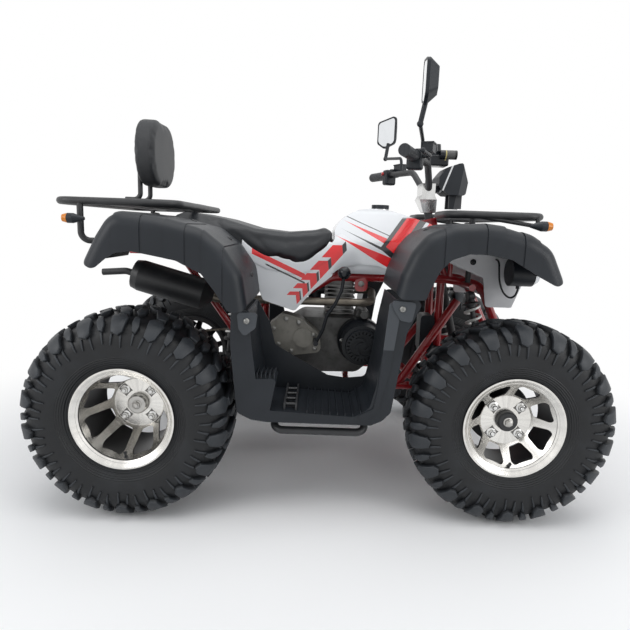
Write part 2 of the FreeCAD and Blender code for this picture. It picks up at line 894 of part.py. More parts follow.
def plate_between(start, end, width, wall, up):
    """A flat link with round ends, its underside through both points."""
    way = (end - start).normalize()
    side = up.cross(way) * (width / 2)
    flat = outline_face([start + side, end + side, end - side, start - side]).extrude(up * wall)
    ends = [Part.makeCylinder(width / 2, wall, point, up) for point in (start, end)]
    return fused([flat] + ends)


def bar_path():
    """Half of the handlebar, from the middle to the left end."""
    bar_z = stem_top_z + bar_rise_height
    return [
        Vector(stem_top_x, 0, bar_z), Vector(stem_top_x, bar_clamp_half_width, bar_z),
        Vector(bar_rise_x, bar_rise_y, bar_rise_z), Vector(bar_sweep_x, bar_sweep_y, bar_end_z),
        Vector(bar_end_x, bar_end_y, bar_end_z),
    ]


def level_ring(x, z, half_x, half_y):
    """A rectangle at a height, as a wire for a loft."""
    return Part.makePolygon([
        Vector(x - half_x, -half_y, z), Vector(x + half_x, -half_y, z), Vector(x + half_x, half_y, z),
        Vector(x - half_x, half_y, z), Vector(x - half_x, -half_y, z),
    ])


def make_steering():
    stem = rod(stem_top, stem_foot, stem_radius)
    plate_foot = stem_foot - stem_way * eye_height
    arm_end = pitman_pin - stem_way * eye_height
    pieces = [stem]
    for sign in (1, -1):
        across = Vector(0, sign * pitman_half_width, 0)
        pieces.append(plate_between(plate_foot, arm_end + across, 2 * eye_radius, pitman_wall, -stem_way))
        pieces.append(rod(arm_end + across - stem_way * pitman_wall / 2,
                          pitman_pin + across + stem_way * eye_height, eye_pin_radius))
    keep("steering_stem", fused(pieces))

    points = bar_path()
    keep("handlebar", fused(pair(tube(points, bar_radius, bar_bend))))
    riser_top = points[0].z + bar_radius * 3 / 2
    riser_low = points[0].z - riser_length
    shoulder_z = points[0].z - riser_shoulder_drop
    riser = Part.makeLoft([
        level_ring(stem_at(riser_low).x, riser_low, riser_radius, riser_waist_half_width),
        level_ring(stem_at(shoulder_z).x, shoulder_z, riser_shoulder_radius, riser_half_width),
        level_ring(stem_top_x, points[0].z - 2 * bar_radius, riser_radius, riser_half_width),
        level_ring(stem_top_x, riser_top, riser_radius, riser_half_width),
    ], True, True)
    keep("bar_clamp", riser.cut([
        rod(stem_top - stem_way * seat_gap, stem_foot, stem_radius + seat_gap),
    ] + pair(tube(points, bar_radius + seat_gap, bar_bend))))

    inner = points[-2]
    outer = points[-1]
    way = (outer - inner).normalize()
    grip_start = outer - way * (grip_length - bar_radius)
    grip = rod(grip_start, outer + way * bar_radius, grip_radius)
    grip = grip.cut(rod(inner, outer, bar_radius + seat_gap))
    keep("grips", *pair(grip))


def caliper(disc_y, disc_radius):
    """A brake caliper over the rear edge of a disc, with its arm to y = 0, about the wheel's axis."""
    gap = brake_disc_wall / 2 + caliper_gap
    jaw = gap + caliper_jaw
    back_x = -disc_radius - caliper_reach
    block = Part.makeBox(caliper_reach + caliper_depth, 2 * jaw, 2 * caliper_half_width,
                         Vector(back_x, disc_y - jaw, -caliper_half_width))
    slot = Part.makeBox(caliper_depth + disc_radius, 2 * gap, 4 * caliper_half_width,
                        Vector(-disc_radius - caliper_gap, disc_y - gap, -2 * caliper_half_width))
    arm = Part.makeBox(disc_radius, caliper_arm_wall, 2 * caliper_arm_half_width,
                       Vector(-disc_radius, disc_y - jaw, -caliper_arm_half_width))
    return block.cut(slot).fuse(arm)


def make_knuckles():
    low = Vector(kingpin.x, kingpin.y, lower_joint_z + joint_boss_height / 2 + seat_gap)
    high = Vector(kingpin.x, kingpin.y, upper_joint_z - joint_boss_height / 2 - seat_gap)
    stud = rod(low, high, kingpin_radius)
    post = rod(low + Z_AXIS * kingpin_radius, high - Z_AXIS * kingpin_radius, knuckle_radius)
    spindle_end = front_hub_y - hub_flange_wall
    spindle = rod(kingpin, Vector(kingpin.x, spindle_end, kingpin.z), spindle_radius)
    arm_base = Vector(kingpin.x, kingpin.y, knuckle_pin.z + eye_height)
    arm_tip = Vector(knuckle_pin.x, knuckle_pin.y, knuckle_pin.z + eye_height)
    arm = plate_between(arm_base, arm_tip, knuckle_arm_width, knuckle_arm_wall, Z_AXIS)
    pin = rod(arm_tip, Vector(arm_tip.x, arm_tip.y, knuckle_pin.z - eye_height), eye_pin_radius)
    disc_y = front_hub_y - front_hub_length + brake_disc_wall / 2
    brake = caliper(disc_y - kingpin.y, brake_disc_radius).translate(kingpin)
    both_sides("knuckle", fused([stud, post, spindle, arm, pin, brake]))


def make_tie_rods():
    inner = pitman_pin + Vector(0, pitman_half_width, 0)
    outer = knuckle_pin
    way = (outer - inner).normalize()
    bar = rod(inner + way * eye_bore_radius, outer - way * eye_bore_radius, tie_rod_radius)
    inner_eye = Part.makeCylinder(eye_radius, eye_height, inner + stem_way * eye_height / 2, -stem_way)
    outer_eye = Part.makeCylinder(eye_radius, eye_height, outer - Z_AXIS * eye_height / 2, Z_AXIS)
    inner_hole = rod(inner + stem_way * eye_height, inner - stem_way * eye_height, eye_pin_radius + pin_gap)
    outer_hole = rod(outer - Z_AXIS * eye_height, outer + Z_AXIS * eye_height, eye_bore_radius)
    both_sides("tie_rod", fused([bar, inner_eye, outer_eye]).cut([inner_hole, outer_hole]))


def lower_arm_point(pivot_x):
    """Where a tube of the lower wishbone passes under the foot of the shock absorber."""
    share = (shock_foot_y - arm_pivot_y) / (kingpin_y - arm_pivot_y)
    foot = Vector(pivot_x, arm_pivot_y, lower_pivot_z)
    return foot + (Vector(kingpin.x, kingpin.y, lower_joint_z) - foot) * share


def make_front_arms():
    """Two wishbones a side, from pivots on the nose frame to the knuckle's ball joints."""
    arms = []
    for joint_z, pivot_z in ((lower_joint_z, lower_pivot_z), (upper_joint_z, upper_pivot_z)):
        tip = Vector(kingpin.x, kingpin.y, joint_z)
        pieces = []
        for pivot_x in (arm_back_x, arm_front_x):
            foot = Vector(pivot_x, arm_pivot_y, pivot_z)
            pieces.append(rod(foot, tip, arm_tube_radius))
            pieces.append(rod(foot - X_AXIS * bush_half_length, foot + X_AXIS * bush_half_length, bush_radius))
        if joint_z == lower_joint_z:
            pieces.append(rod(lower_arm_point(arm_back_x), lower_arm_point(arm_front_x), shock_bar_radius))
        half = Z_AXIS * (joint_boss_height / 2)
        boss = rod(tip - half, tip + half, joint_boss_radius)
        above = rod(tip + half, tip + half * 3, joint_boss_radius)
        below = rod(tip - half * 3, tip - half, joint_boss_radius)
        pieces = [fused(pieces).cut([above, below]), boss]
        arms.append(fused(pieces))
    return arms


rear_fender_top_shares = [
    (0.0, 0.46), (0.08, 0.74), (0.15, 0.93), (0.22, 1.0), (0.45, 0.96), (0.7, 0.86),
    (0.84, 0.67), (0.95, 0.4), (0.985, 0.0),
]
rear_fender_low_shares = [
    (0.875, 0.0), (0.8, 0.21), (0.72, 0.39), (0.57, 0.52), (0.31, 0.6),
    (0.22, 0.58), (0.16, 0.52), (0.08, 0.4),
]
front_fender_top_shares = [
    (0.0, 0.0), (0.03, 0.31), (0.09, 0.62), (0.17, 0.84), (0.32, 0.97), (0.49, 1.0),
    (0.61, 0.97), (0.78, 0.87), (0.91, 0.7), (1.0, 0.29),
]
rear_panel_shares = [(0.2, 0.36), (0.5, 0.62), (0.72, 0.84)]
front_panel_shares = [(0.27, 0.4), (0.51, 0.62), (0.73, 0.83)]
front_fender_low_shares = [
    (0.94, 0.23), (0.83, 0.35), (0.66, 0.56), (0.51, 0.61), (0.41, 0.61), (0.31, 0.53),
    (0.25, 0.385), (0.19, 0.09), (0.18, 0.0),
]


def fender(top, low, inner_y, outer_y, panels):
    """A fender: a crowned sheet cut to its side view, with panels that stand proud of it."""
    low_z = min(p.z for p in top) - overrun

    def crowned(wall, reach):
        path = offset_path(top, -wall)
        drop = Vector(0, 0, -2 * (max(p.z for p in top) - min(p.z for p in top)))
        ring = path + [path[-1] + drop, path[0] + drop]
        face_y = outer_y - wall
        block = slab(ring, inner_y - reach, face_y, panel_bend)
        edges = [e for e in block.Edges if all(abs(v.Y - face_y) < seat_gap for v in e.Vertexes)
                 and e.CenterOfMass.z > low_z]
        return block.makeFillet(shoulder_radius - wall, edges)

    outline = slab(top + low, inner_y, outer_y, overrun)
    sheet_solid = crowned(0.0, 0.0).common(outline).cut(crowned(panel_wall, overrun))
    wide = slab(offset_path(top, panel_step) + low, inner_y + panel_bend, outer_y + panel_step, overrun)
    proud = crowned(-panel_step, 0.0).common(wide).cut(crowned(panel_wall / 2, overrun))
    steps = []
    for start, end in panels:
        band = Part.makeBox(end - start, outer_y, 2 * (max(p.z for p in top) - low_z),
                            Vector(start, inner_y, low_z - panel_bend * 2))
        steps.append(proud.common(band))
    return fused([sheet_solid] + steps)


def panel_spans(shares, back_x, length):
    return [(back_x + length * start, back_x + length * end) for start, end in shares]


def make_fenders():
    low = side_points(rear_fender_low_shares, rear_fender_back_x, rear_fender_length,
                      rear_fender_low_z, rear_fender_height)
    spans = panel_spans(rear_panel_shares, rear_fender_back_x, rear_fender_length)
    rear = fender(rear_fender_top(), low, fender_inner_y, rear_fender_outer_y, spans)
    both_sides("rear_fender", rear.cut(rear_rack_leg(rack_leg_radius + 3 * pin_gap)))
    low = side_points(front_fender_low_shares, front_fender_back_x, front_fender_length,
                      front_fender_low_z, front_fender_height)
    spans = panel_spans(front_panel_shares, front_fender_back_x, front_fender_length)
    front = fender(front_fender_top(), low, fender_inner_y, front_fender_outer_y, spans)
    both_sides("front_fender", front.cut(headlamp(lamp_radius + seat_gap)))


frame_top_z = tank_low_z - seat_gap - frame_tube_radius
nose_rail_y = arm_pivot_y - bush_radius - frame_tube_radius - seat_gap
tower_z = shock_top_z + shock_eye_radius + cross_tube_radius + seat_gap
pipe_y = -(frame_half_width + frame_tube_radius + pipe_radius + pin_gap)


def height_at(points, x):
    """The height of a side-view path at x."""
    for start, end in zip(points, points[1:]):
        if min(start.x, end.x) <= x <= max(start.x, end.x):
            return start.z + (end.z - start.z) * (x - start.x) / (end.x - start.x)


def rear_fender_top():
    return side_points(rear_fender_top_shares, rear_fender_back_x, rear_fender_length,
                       rear_fender_low_z, rear_fender_height)


def front_fender_top():
    return side_points(front_fender_top_shares, front_fender_back_x, front_fender_length,
                       front_fender_low_z, front_fender_height)


def stem_at(z):
    """The point on the steering line at a height."""
    return stem_top + stem_way * ((z - stem_top_z) / stem_way.z)


def pair(solid):
    return [solid, mirrored(solid)]


def lamp_cable_path():
    """From the grommet in the cowl's right cheek, down in a loop, to the socket under the lamp."""
    end = Vector(lamp_back_x + socket_ahead, -lamp_y, lamp_z - lamp_radius - socket_height - cable_end_gap)
    return [end + Vector(*offset) for offset in lamp_cable_offsets]


def cross_tube(x, half, z, radius=cross_tube_radius):
    return rod(Vector(x, -half, z), Vector(x, half, z), radius)


def main_side(radius):
    """The tube loop on one side of the main frame."""
    hw = frame_half_width
    nose_y = nose_rail_y + frame_tube_radius
    upright_top_z = rail_z + footwell_height * upright_share
    return tube([
        Vector(shock_top_x - frame_tube_radius, nose_y, shock_top_z - frame_bend / 2),
        Vector(front_rail_x, hw, rail_z),
        Vector(rear_rail_x, hw, rail_z),
        Vector(rear_rail_x, hw, upright_top_z - frame_tube_radius),
        Vector(rear_rail_x + frame_bend * shoulder_bends, hw, upright_top_z),
        Vector(tank_back_x, hw, frame_top_z),
        Vector(shock_top_x - frame_bend, nose_y, frame_top_z),
    ], radius, frame_bend)


def make_frames():
    hw = frame_half_width
    plate = Part.makeBox(abs(rear_rail_x - pivot_x) + pivot_radius, plate_wall, 3 * pivot_radius,
                         Vector(rear_rail_x, hw - plate_wall / 2, pivot_z - pivot_plate_share * pivot_radius))
    crosses = [cross_tube(rear_rail_x, hw, rail_z + 2 * frame_bend), cross_tube(tank_back_x, hw, frame_top_z)]
    for share in engine_mount_shares:
        mount_x = engine_back_x + engine_length * share
        crosses.append(cross_tube(mount_x, hw, rail_z))
        half = cross_tube_radius * mount_share
        crosses.append(Part.makeBox(2 * half, engine_half_width, engine_low_z - seat_gap - rail_z,
                                    Vector(mount_x - half, -engine_half_width / 2, rail_z)))
    steady_x = engine_back_x + engine_length * steady_share
    steady_low = Vector(steady_x, 0, frame_top_z - steady_drop)
    steady = slab([
        Vector(steady_x - steady_half_width, 0, frame_top_z),
        Vector(steady_x + steady_half_width, 0, frame_top_z),
        Vector(steady_x + steady_half_width, 0, steady_low.z),
        Vector(steady_x - steady_half_width, 0, steady_low.z),
    ], hw - steady_wall / 2, hw + steady_wall / 2, steady_half_width * 3 / 4)
    bolt_at = Vector(steady_x, hw - steady_wall, steady_low.z + steady_half_width)
    bolt = rod(bolt_at, bolt_at + Y_AXIS * (2 * steady_wall), steady_bolt_radius)
    sides = pair(main_side(frame_tube_radius)) + pair(plate)
    keep("main_frame", fused(sides + pair(steady) + pair(bolt) + crosses))


def front_stay_z():
    """The height of the tube that carries the front fenders."""
    return height_at(front_fender_top(), front_stay_x) - panel_wall - stay_radius - 3 * seat_gap


def make_nose_frame():
    y = nose_rail_y
    r = frame_tube_radius
    hoop = tube([
        Vector(front_rail_x - frame_bend, frame_half_width, rail_z),
        Vector(front_rail_x + frame_bend, frame_half_width, rail_z),
        Vector(arm_back_x - frame_bend, y, lower_pivot_z),
        Vector(nose_frame_x, y, lower_pivot_z),
        Vector(nose_frame_x - r, y, upper_pivot_z),
        Vector(shock_top_x + frame_bend, y + r, tower_z),
        Vector(shock_top_x - frame_bend, y + r, frame_top_z),
    ], r, frame_bend)
    upright = rod(Vector(arm_back_x, y, lower_pivot_z), Vector(arm_back_x, y, frame_top_z - r), r)
    rail = rod(Vector(arm_back_x, y, upper_pivot_z), Vector(nose_frame_x - r, y, upper_pivot_z), r)
    crosses = [cross_tube(x, half, z) for x, half, z in (
        (arm_back_x, y, lower_pivot_z), (nose_frame_x - frame_bend, y, lower_pivot_z),
        (nose_frame_x - r, y, upper_pivot_z), (stem_at(upper_pivot_z - r).x, y, upper_pivot_z - r),
        (shock_top_x, shock_top_y + shock_eye_radius, tower_z),
    )]
    bearing_half = stem_way * (bearing_length / 2)
    flange = rod(stem_at(head_tube_top_z), stem_at(head_tube_top_z) + stem_way * flange_wall, flange_radius)
    low_bearing = stem_at(upper_pivot_z - r)
    head_top = stem_at(head_tube_top_z)
    head_foot = stem_at(head_tube_low_z)
    shells = [rod(low_bearing - bearing_half, low_bearing + bearing_half, bearing_radius),
              rod(head_top, head_foot, bearing_radius), flange]
    bore = rod(head_top - stem_way * overrun, low_bearing + bearing_half * 2, stem_radius + pin_gap)
    struts = []
    for sign in (1, -1):
        root = stem_at(head_tube_low_z + bearing_radius) + Vector(0, sign * bearing_radius * strut_root_share, 0)
        struts.append(rod(root, Vector(root.x + r, sign * (y + r), frame_top_z), r * strut_radius_share))
    stay_z = front_stay_z()
    stay = cross_tube(front_stay_x, front_fender_outer_y - 2 * shoulder_radius, stay_z, stay_radius)
    posts = [rod(Vector(front_stay_x, sign * (y + r), frame_top_z), Vector(front_stay_x, sign * (y + r), stay_z),
                 stay_radius) for sign in (1, -1)]
    welded = fused(pair(hoop) + pair(upright) + pair(rail) + crosses + shells + struts + [stay] + posts)
    keep("nose_frame", welded.cut([bore] + pair(main_side(r + seat_gap))))


def seat_low_points():
    return side_points(seat_low_shares, seat_back_x, seat_length, seat_low_z, seat_height)


def rear_frame_points():
    """The seat rail: from the main frame, under the seat, to the tail."""
    low = seat_low_points()
    slope = low[-2] - low[-1]
    drop = Vector(0, frame_half_width, -(frame_tube_radius + seat_gap) * slope.Length / slope.x)
    start = Vector(rear_rail_x + frame_bend * seat_rail_bends, frame_half_width,
                   rail_z + footwell_height * upright_share)
    back = low[-1] + drop
    return start, low[-2] + drop, back, Vector(rear_frame_x, frame_half_width, back.z)


def make_rear_frame():
    y = frame_half_width
    r = frame_tube_radius
    start, middle, back, end = rear_frame_points()
    rail = tube([start, middle, back, end], r, frame_bend)
    strut = rod(Vector(rear_rail_x, y, rail_z + frame_bend), back, cross_tube_radius)
    stay_z = height_at(rear_fender_top(), rear_stay_x) - panel_wall - stay_radius - 3 * seat_gap
    stay = cross_tube(rear_stay_x, rear_fender_outer_y - 2 * shoulder_radius, stay_z, stay_radius)
    posts = [rod(Vector(rear_stay_x, sign * y, back.z), Vector(rear_stay_x, sign * y, stay_z), stay_radius)
             for sign in (1, -1)]
    crosses = [cross_tube(end.x, y, end.z), cross_tube(middle.x, y, middle.z)]
    welded = fused(pair(rail) + pair(strut) + crosses + [stay] + posts)
    keep("rear_frame", welded.cut(pair(main_side(r + seat_gap))))


def make_suspension():
    keep("front_arms", *[side for arm in make_front_arms() for side in pair(arm)])
    top = Vector(shock_top_x, shock_top_y, shock_top_z)
    rise = shock_bar_radius + shock_eye_radius + seat_gap
    foot = Vector(shock_foot_x, shock_foot_y, lower_arm_point(arm_back_x).z + rise)
    keep("front_shocks", *pair(shock(foot, top)))
    pivot = Vector(pivot_x, 0, pivot_z)
    axle = Vector(rear_axle_x, 0, tyre_radius)
    half = Vector(0, carrier_length / 2, 0)
    pivot_half = Vector(0, frame_half_width - plate_wall / 2 - seat_gap, 0)
    carrier = rod(axle - half, axle + half, carrier_radius)
    pin = rod(pivot - pivot_half, pivot + pivot_half, pivot_radius)
    beams = []
    for sign in (1, -1):
        across = Vector(0, sign * (carrier_length / 2 - pivot_radius), 0)
        beams.append(rod(pivot + across, axle + across, beam_radius))
    bridge = pivot + (axle - pivot) * bridge_share
    beams.append(cross_tube(bridge.x, carrier_length / 2 - pivot_radius, bridge.z, bridge_radius))
    bore = rod(axle - half * 2, axle + half * 2, axle_radius + pin_gap)
    hitch_pin = axle - X_AXIS * hitch_reach
    hitch = plate_between(axle - Z_AXIS * (hitch_wall / 2), hitch_pin - Z_AXIS * (hitch_wall / 2),
                          hitch_width, hitch_wall, Z_AXIS)
    eye = rod(hitch_pin - Z_AXIS * hitch_wall, hitch_pin + Z_AXIS * hitch_wall, hitch_hole_radius)
    brake = caliper(-sprocket_y, rear_brake_radius)
    brake.rotate(Vector(0, 0, 0), Y_AXIS, 90)
    arm = Part.makeBox(2 * caliper_half_width, sprocket_y - carrier_length / 2 + plate_wall, caliper_arm_wall,
                       Vector(-caliper_half_width, -sprocket_y, carrier_radius * 4 / 3))
    post = Part.makeBox(2 * caliper_half_width, plate_wall, carrier_radius * 4 / 3,
                        Vector(-caliper_half_width, -carrier_length / 2, 0))
    brake = fused([brake, arm, post]).translate(axle)
    keep("swingarm", fused([carrier, pin, hitch] + beams).cut([bore, eye]))
    low = bridge + Z_AXIS * (bridge_radius + shock_eye_radius + seat_gap)
    middle = rear_frame_points()[1]
    high = Vector(middle.x, 0, middle.z - cross_tube_radius - shock_eye_radius - seat_gap)
    keep("rear_shock", shock(low, high))


def shock(foot, top):
    """A coil-over shock absorber: body, rod and a spring drawn as stacked rings."""
    way = (top - foot).normalize()
    length = (top - foot).Length
    core = rod(foot, top, shock_rod_radius)
    body_start, body_end = [foot + way * (length * share) for share in shock_body_shares]
    body = rod(body_start, body_end, shock_rod_radius * shock_body_share)
    rings = []
    for i in range(spring_turns):
        centre = foot + way * (length * (spring_low_share + spring_span_share * i / (spring_turns - 1)))
        rings.append(Part.makeCylinder(shock_spring_radius, shock_rod_radius * spring_wire_share, centre, way))
    ends = [
        rod(foot - X_AXIS * shock_rod_radius, foot + X_AXIS * shock_rod_radius, shock_eye_radius),
        rod(top - X_AXIS * shock_rod_radius, top + X_AXIS * shock_rod_radius, shock_eye_radius),
    ]
    return fused([core, body] + rings + ends)


def fan_cover():
    """The starter cover: a domed housing, a ring of slots and three spiral hollows in its face."""
    dome = [(-fan_depth * depth, fan_radius * out) for depth, out in fan_dome_shares]
    shell = turned([(0, 0)] + dome + [
        (-fan_depth * fan_rim_share, fan_face_radius), (-fan_depth, fan_face_radius - fan_face_chamfer),
        (-fan_depth, 0),
    ])
    slot = Part.makeBox(fan_slot_width, fan_slot_depth, fan_slot_outer_radius - fan_slot_inner_radius,
                        Vector(-fan_slot_width / 2, -fan_depth, fan_slot_inner_radius))
    hollow = rod(Vector(0, -fan_depth, fan_blade_offset), Vector(0, -fan_depth + fan_blade_depth, fan_blade_offset),
                 fan_blade_radius)
    filled = rod(Vector(-fan_blade_shift, -2 * fan_depth, fan_blade_offset - fan_blade_shift),
                 Vector(-fan_blade_shift, 0, fan_blade_offset - fan_blade_shift), fan_blade_inner_radius)
    blade = hollow.cut(filled)
    cover = shell.cut(around_y(slot, fan_slots)).cut(around_y(blade, fan_blades))
    return cover.translate(Vector(fan_x, -engine_half_width - seat_gap, fan_z))


def make_engine():
    half = engine_half_width
    case = slab(side_points(engine_shares, engine_back_x, engine_length, engine_low_z, engine_height),
                -half, half, engine_bend)
    starter_x = engine_back_x + engine_length * starter_share
    starter_at = Vector(starter_x, -half, engine_low_z + engine_height + starter_rise)
    starter = rod(starter_at + Y_AXIS * pin_gap, starter_at + Y_AXIS * starter_length, starter_radius)
    nose_at = starter_at + Z_AXIS * starter_nose_rise
    nose = rod(nose_at - Y_AXIS * starter_nose_length, nose_at + Y_AXIS * starter_length / 2, starter_nose_radius)
    keep("engine_case", fused([case, starter, nose]))
    face_y = -half - cover_depth
    corners = side_points(cover_shares, cover_back_x, cover_length, cover_low_z, cover_height)
    cover = slab(corners, face_y, -half - seat_gap, engine_bend / 2)
    middle = sum(corners, Vector(0, 0, 0)) * (1 / len(corners))
    bosses = [rod(Vector(cover_boss_x, face_y - cover_depth / 8, cover_boss_z),
                  Vector(cover_boss_x, face_y + cover_depth / 2, cover_boss_z), cover_boss_radius)]
    for corner in corners:
        at = corner + (middle - corner) * cover_bolt_share
        bosses.append(rod(Vector(at.x, face_y - cover_bolt_rise, at.z), Vector(at.x, -half - 2 * seat_gap, at.z),
                          cover_bolt_radius))
    keep("transmission_cover", fused([cover] + bosses))
    keep("fan_cover", fan_cover())

    base = Vector(cylinder_x, 0, engine_low_z + engine_height + seat_gap)
    fins = []
    for i in range(fin_count):
        fins.append(Part.makeBox(cylinder_width, cylinder_width, fin_wall,
                                 base + Vector(-cylinder_width / 2, -cylinder_width / 2, fin_wall + fin_pitch * i)))
    head_half = cylinder_width * head_half_share
    barrel = Part.makeCylinder(head_half, fin_pitch * fin_count, base)
    head = Part.makeBox(2 * head_half, 2 * head_half, fin_pitch * 2,
                        base + Vector(-head_half, -head_half, fin_pitch * (fin_count - 1)))
    keep("engine_cylinder", fused([barrel, head] + fins))

    inlet_z = base.z + fin_pitch * (fin_count - 2)
    inlet_start = Vector(base.x - cylinder_width / 2 - seat_gap, 0, inlet_z)
    box_front = inlet_start - X_AXIS * inlet_length
    box = Part.makeBox(air_box_length, 2 * air_box_half_width, air_box_height,
                       box_front + Vector(-air_box_length, -air_box_half_width, -air_box_height / 2))
    pipe = rod(inlet_start, box_front - X_AXIS * seat_gap * 4, inlet_radius)
    bowl_at = (inlet_start + box_front) / 2 - Z_AXIS * bowl_drop
    bowl = Part.makeCylinder(bowl_radius, bowl_height, bowl_at)
    rear_x = arm_back_x - frame_tube_radius - seat_gap - canister_length
    low_z = upper_pivot_z - canister_drop
    side_y = -nose_rail_y - frame_tube_radius
    canister = slab([
        Vector(rear_x, 0, low_z), Vector(rear_x + canister_length, 0, low_z),
        Vector(rear_x + canister_length, 0, low_z + canister_height), Vector(rear_x, 0, low_z + canister_height),
    ], side_y, side_y + 2 * canister_half_width, canister_bend)
    keep("intake", fused([pipe, bowl, box]), canister)

    port = Vector(base.x + cylinder_width / 2 + seat_gap, 0, inlet_z)
    muffler_front = Vector(muffler_front_x, muffler_y, muffler_front_z)
    muffler_back = Vector(muffler_back_x, muffler_y, muffler_back_z)
    way = (muffler_front - muffler_back).normalize()
    path = [port, port + Vector(pipe_bend * port_run_share, 0, 0),
            Vector(port.x + pipe_bend, pipe_y, port.z - pipe_bend / 2),
            Vector(rear_rail_x - frame_tube_radius, pipe_y, port.z - pipe_bend / 2),
            muffler_front + way * pipe_bend / 2, muffler_front + way * seat_gap]
    keep("exhaust_pipe", tube(path, pipe_radius, pipe_bend))
    length = (muffler_front - muffler_back).Length
    body = [Vector(length * along, muffler_radius * out, 0) for along, out in muffler_shares]
    can = Part.Face(Part.makePolygon(
        [Vector(0, 0, 0), Vector(0, pipe_radius, 0)] + body + [Vector(length, 0, 0), Vector(0, 0, 0)],
    )).revolve(Vector(0, 0, 0), X_AXIS, 360)
    spout = tube([
        Vector(length * spout_root_share, 0, 0), Vector(length + muffler_radius * spout_run_share, 0, 0),
        Vector(length + 2 * muffler_radius, 0, -muffler_radius / 2),
    ], pipe_radius * spout_radius_share, pipe_bend)
    muffler = fused([can, spout])
    muffler.rotate(Vector(0, 0, 0), Z_AXIS, 180)
    rise = math.atan2(muffler_back.z - muffler_front.z, muffler_front.x - muffler_back.x)
    muffler.rotate(Vector(0, 0, 0), Y_AXIS, deg(rise))
    keep("muffler", muffler.translate(muffler_front))


def chain_loop(rear, front, rear_radius, front_radius, half):
    """A side-view loop round both sprockets, with straight facets, extruded across."""
    tilt = math.atan2(front.z - rear.z, front.x - rear.x)
    lean = math.acos((rear_radius - front_radius) / (front - rear).Length)
    points = []
    for centre, radius, start, sweep, facets in (
            (rear, rear_radius, tilt + lean, 2 * (math.pi - lean), rear_chain_facets),
            (front, front_radius, tilt - lean, 2 * lean, front_chain_facets)):
        corner_radius = radius / math.cos(sweep / facets / 2)
        for i in range(facets):
            angle = start + sweep * (2 * i + 1) / facets / 2
            points.append(centre + Vector(math.cos(angle), 0, math.sin(angle)) * corner_radius)
    return slab(points, sprocket_y - half, sprocket_y + half)


def make_gear_lever():
    """The hand lever of the gearbox, from its shaft on the transmission cover up to the knob."""
    foot_x = cover_back_x + cover_length * gear_foot_share
    foot = Vector(foot_x, -engine_half_width - cover_depth - seat_gap, gear_foot_z)
    start = foot - Y_AXIS * gear_shaft_length
    points = [start + Vector(gear_reach * along, -gear_lean * out, gear_rise * up) for along, out, up in gear_shares]
    shaft = rod(foot, start - Y_AXIS * gear_rod_radius * 2, gear_shaft_radius)
    knob = Part.makeSphere(gear_knob_radius, points[-1])
    keep("gear_lever", fused([shaft, tube(points, gear_rod_radius, gear_reach / 2), knob]))


def make_chain():
    """The drive chain, one closed band, and the engine's small sprocket."""
    rear = Vector(rear_axle_x, 0, tyre_radius)
    front = Vector(small_sprocket_x, 0, small_sprocket_z)
    rear_inner = sprocket_radius + chain_gap
    front_inner = small_sprocket_radius + seat_gap
    outer = chain_loop(rear, front, rear_inner + chain_height, front_inner + chain_height, chain_width / 2)
    inner = chain_loop(rear, front, rear_inner, front_inner, chain_width)
    keep("chain", outer.cut(inner))
    shaft = rod(Vector(front.x, engine_half_width + seat_gap, front.z),
                Vector(front.x, sprocket_y + chain_width / 2, front.z), small_sprocket_radius / 2)
    teeth = rod(Vector(front.x, sprocket_y - sprocket_wall / 2, front.z),
                Vector(front.x, sprocket_y + sprocket_wall / 2, front.z), small_sprocket_radius)
    keep("small_sprocket", fused([shaft, teeth]))


def make_seat():
    low = seat_low_points()
    top = side_points(seat_top_shares, seat_back_x, seat_length, seat_low_z, seat_height)
    block = slab(top + low, -seat_half_width, seat_half_width, seat_bend)
    section = Part.Face(Part.Wire(rounded_edges([
        Vector(seat_back_x - overrun, -seat_half_width, 0), Vector(seat_back_x - overrun, seat_half_width, 0),
        Vector(seat_back_x - overrun, seat_half_width, seat_low_z + seat_height),
        Vector(seat_back_x - overrun, -seat_half_width, seat_low_z + seat_height),
    ], seat_bend, True))).extrude(Vector(seat_length + 2 * overrun, 0, 0))
    keep("seat", block.common(section))


def make_tank():
    top = side_points(tank_shares, tank_back_x, tank_length, tank_low_z, tank_height)
    block = slab(top, -tank_half_width, tank_half_width, seat_bend)
    x = tank_back_x - overrun
    section = Part.Face(Part.Wire(rounded_edges([
        Vector(x, -tank_half_width, tank_low_z - overrun), Vector(x, tank_half_width, tank_low_z - overrun),
        Vector(x, tank_half_width, tank_low_z + tank_height * tank_shoulder_share),
        Vector(x, tank_half_width * tank_crown_share, tank_low_z + tank_height),
        Vector(x, -tank_half_width * tank_crown_share, tank_low_z + tank_height),
        Vector(x, -tank_half_width, tank_low_z + tank_height * tank_shoulder_share),
    ], seat_bend, True))).extrude(Vector(tank_length + 2 * overrun, 0, 0))
    slot = rod(stem_at(tank_low_z - overrun * 2), stem_at(stem_top_z), bearing_radius + panel_wall)
    notch_half = bearing_radius + panel_wall
    notch = Part.makeBox(tank_length, 2 * notch_half, tank_height + 2 * overrun,
                         Vector(stem_at(tank_low_z).x - bearing_radius, -notch_half, tank_low_z - overrun))
    cover = block.common(section).cut([slot, notch])
    cap_base = Vector(cap_x, 0, tank_low_z + tank_height - cap_sink)
    seat_hole = Part.makeCylinder(cap_radius + seat_gap, tank_height, cap_base)
    keep("tank_cover", cover.cut(seat_hole))
    cap = Part.makeCylinder(cap_radius, cap_height + cap_sink, cap_base + Z_AXIS * seat_gap)
    keep("fuel_cap", cap)


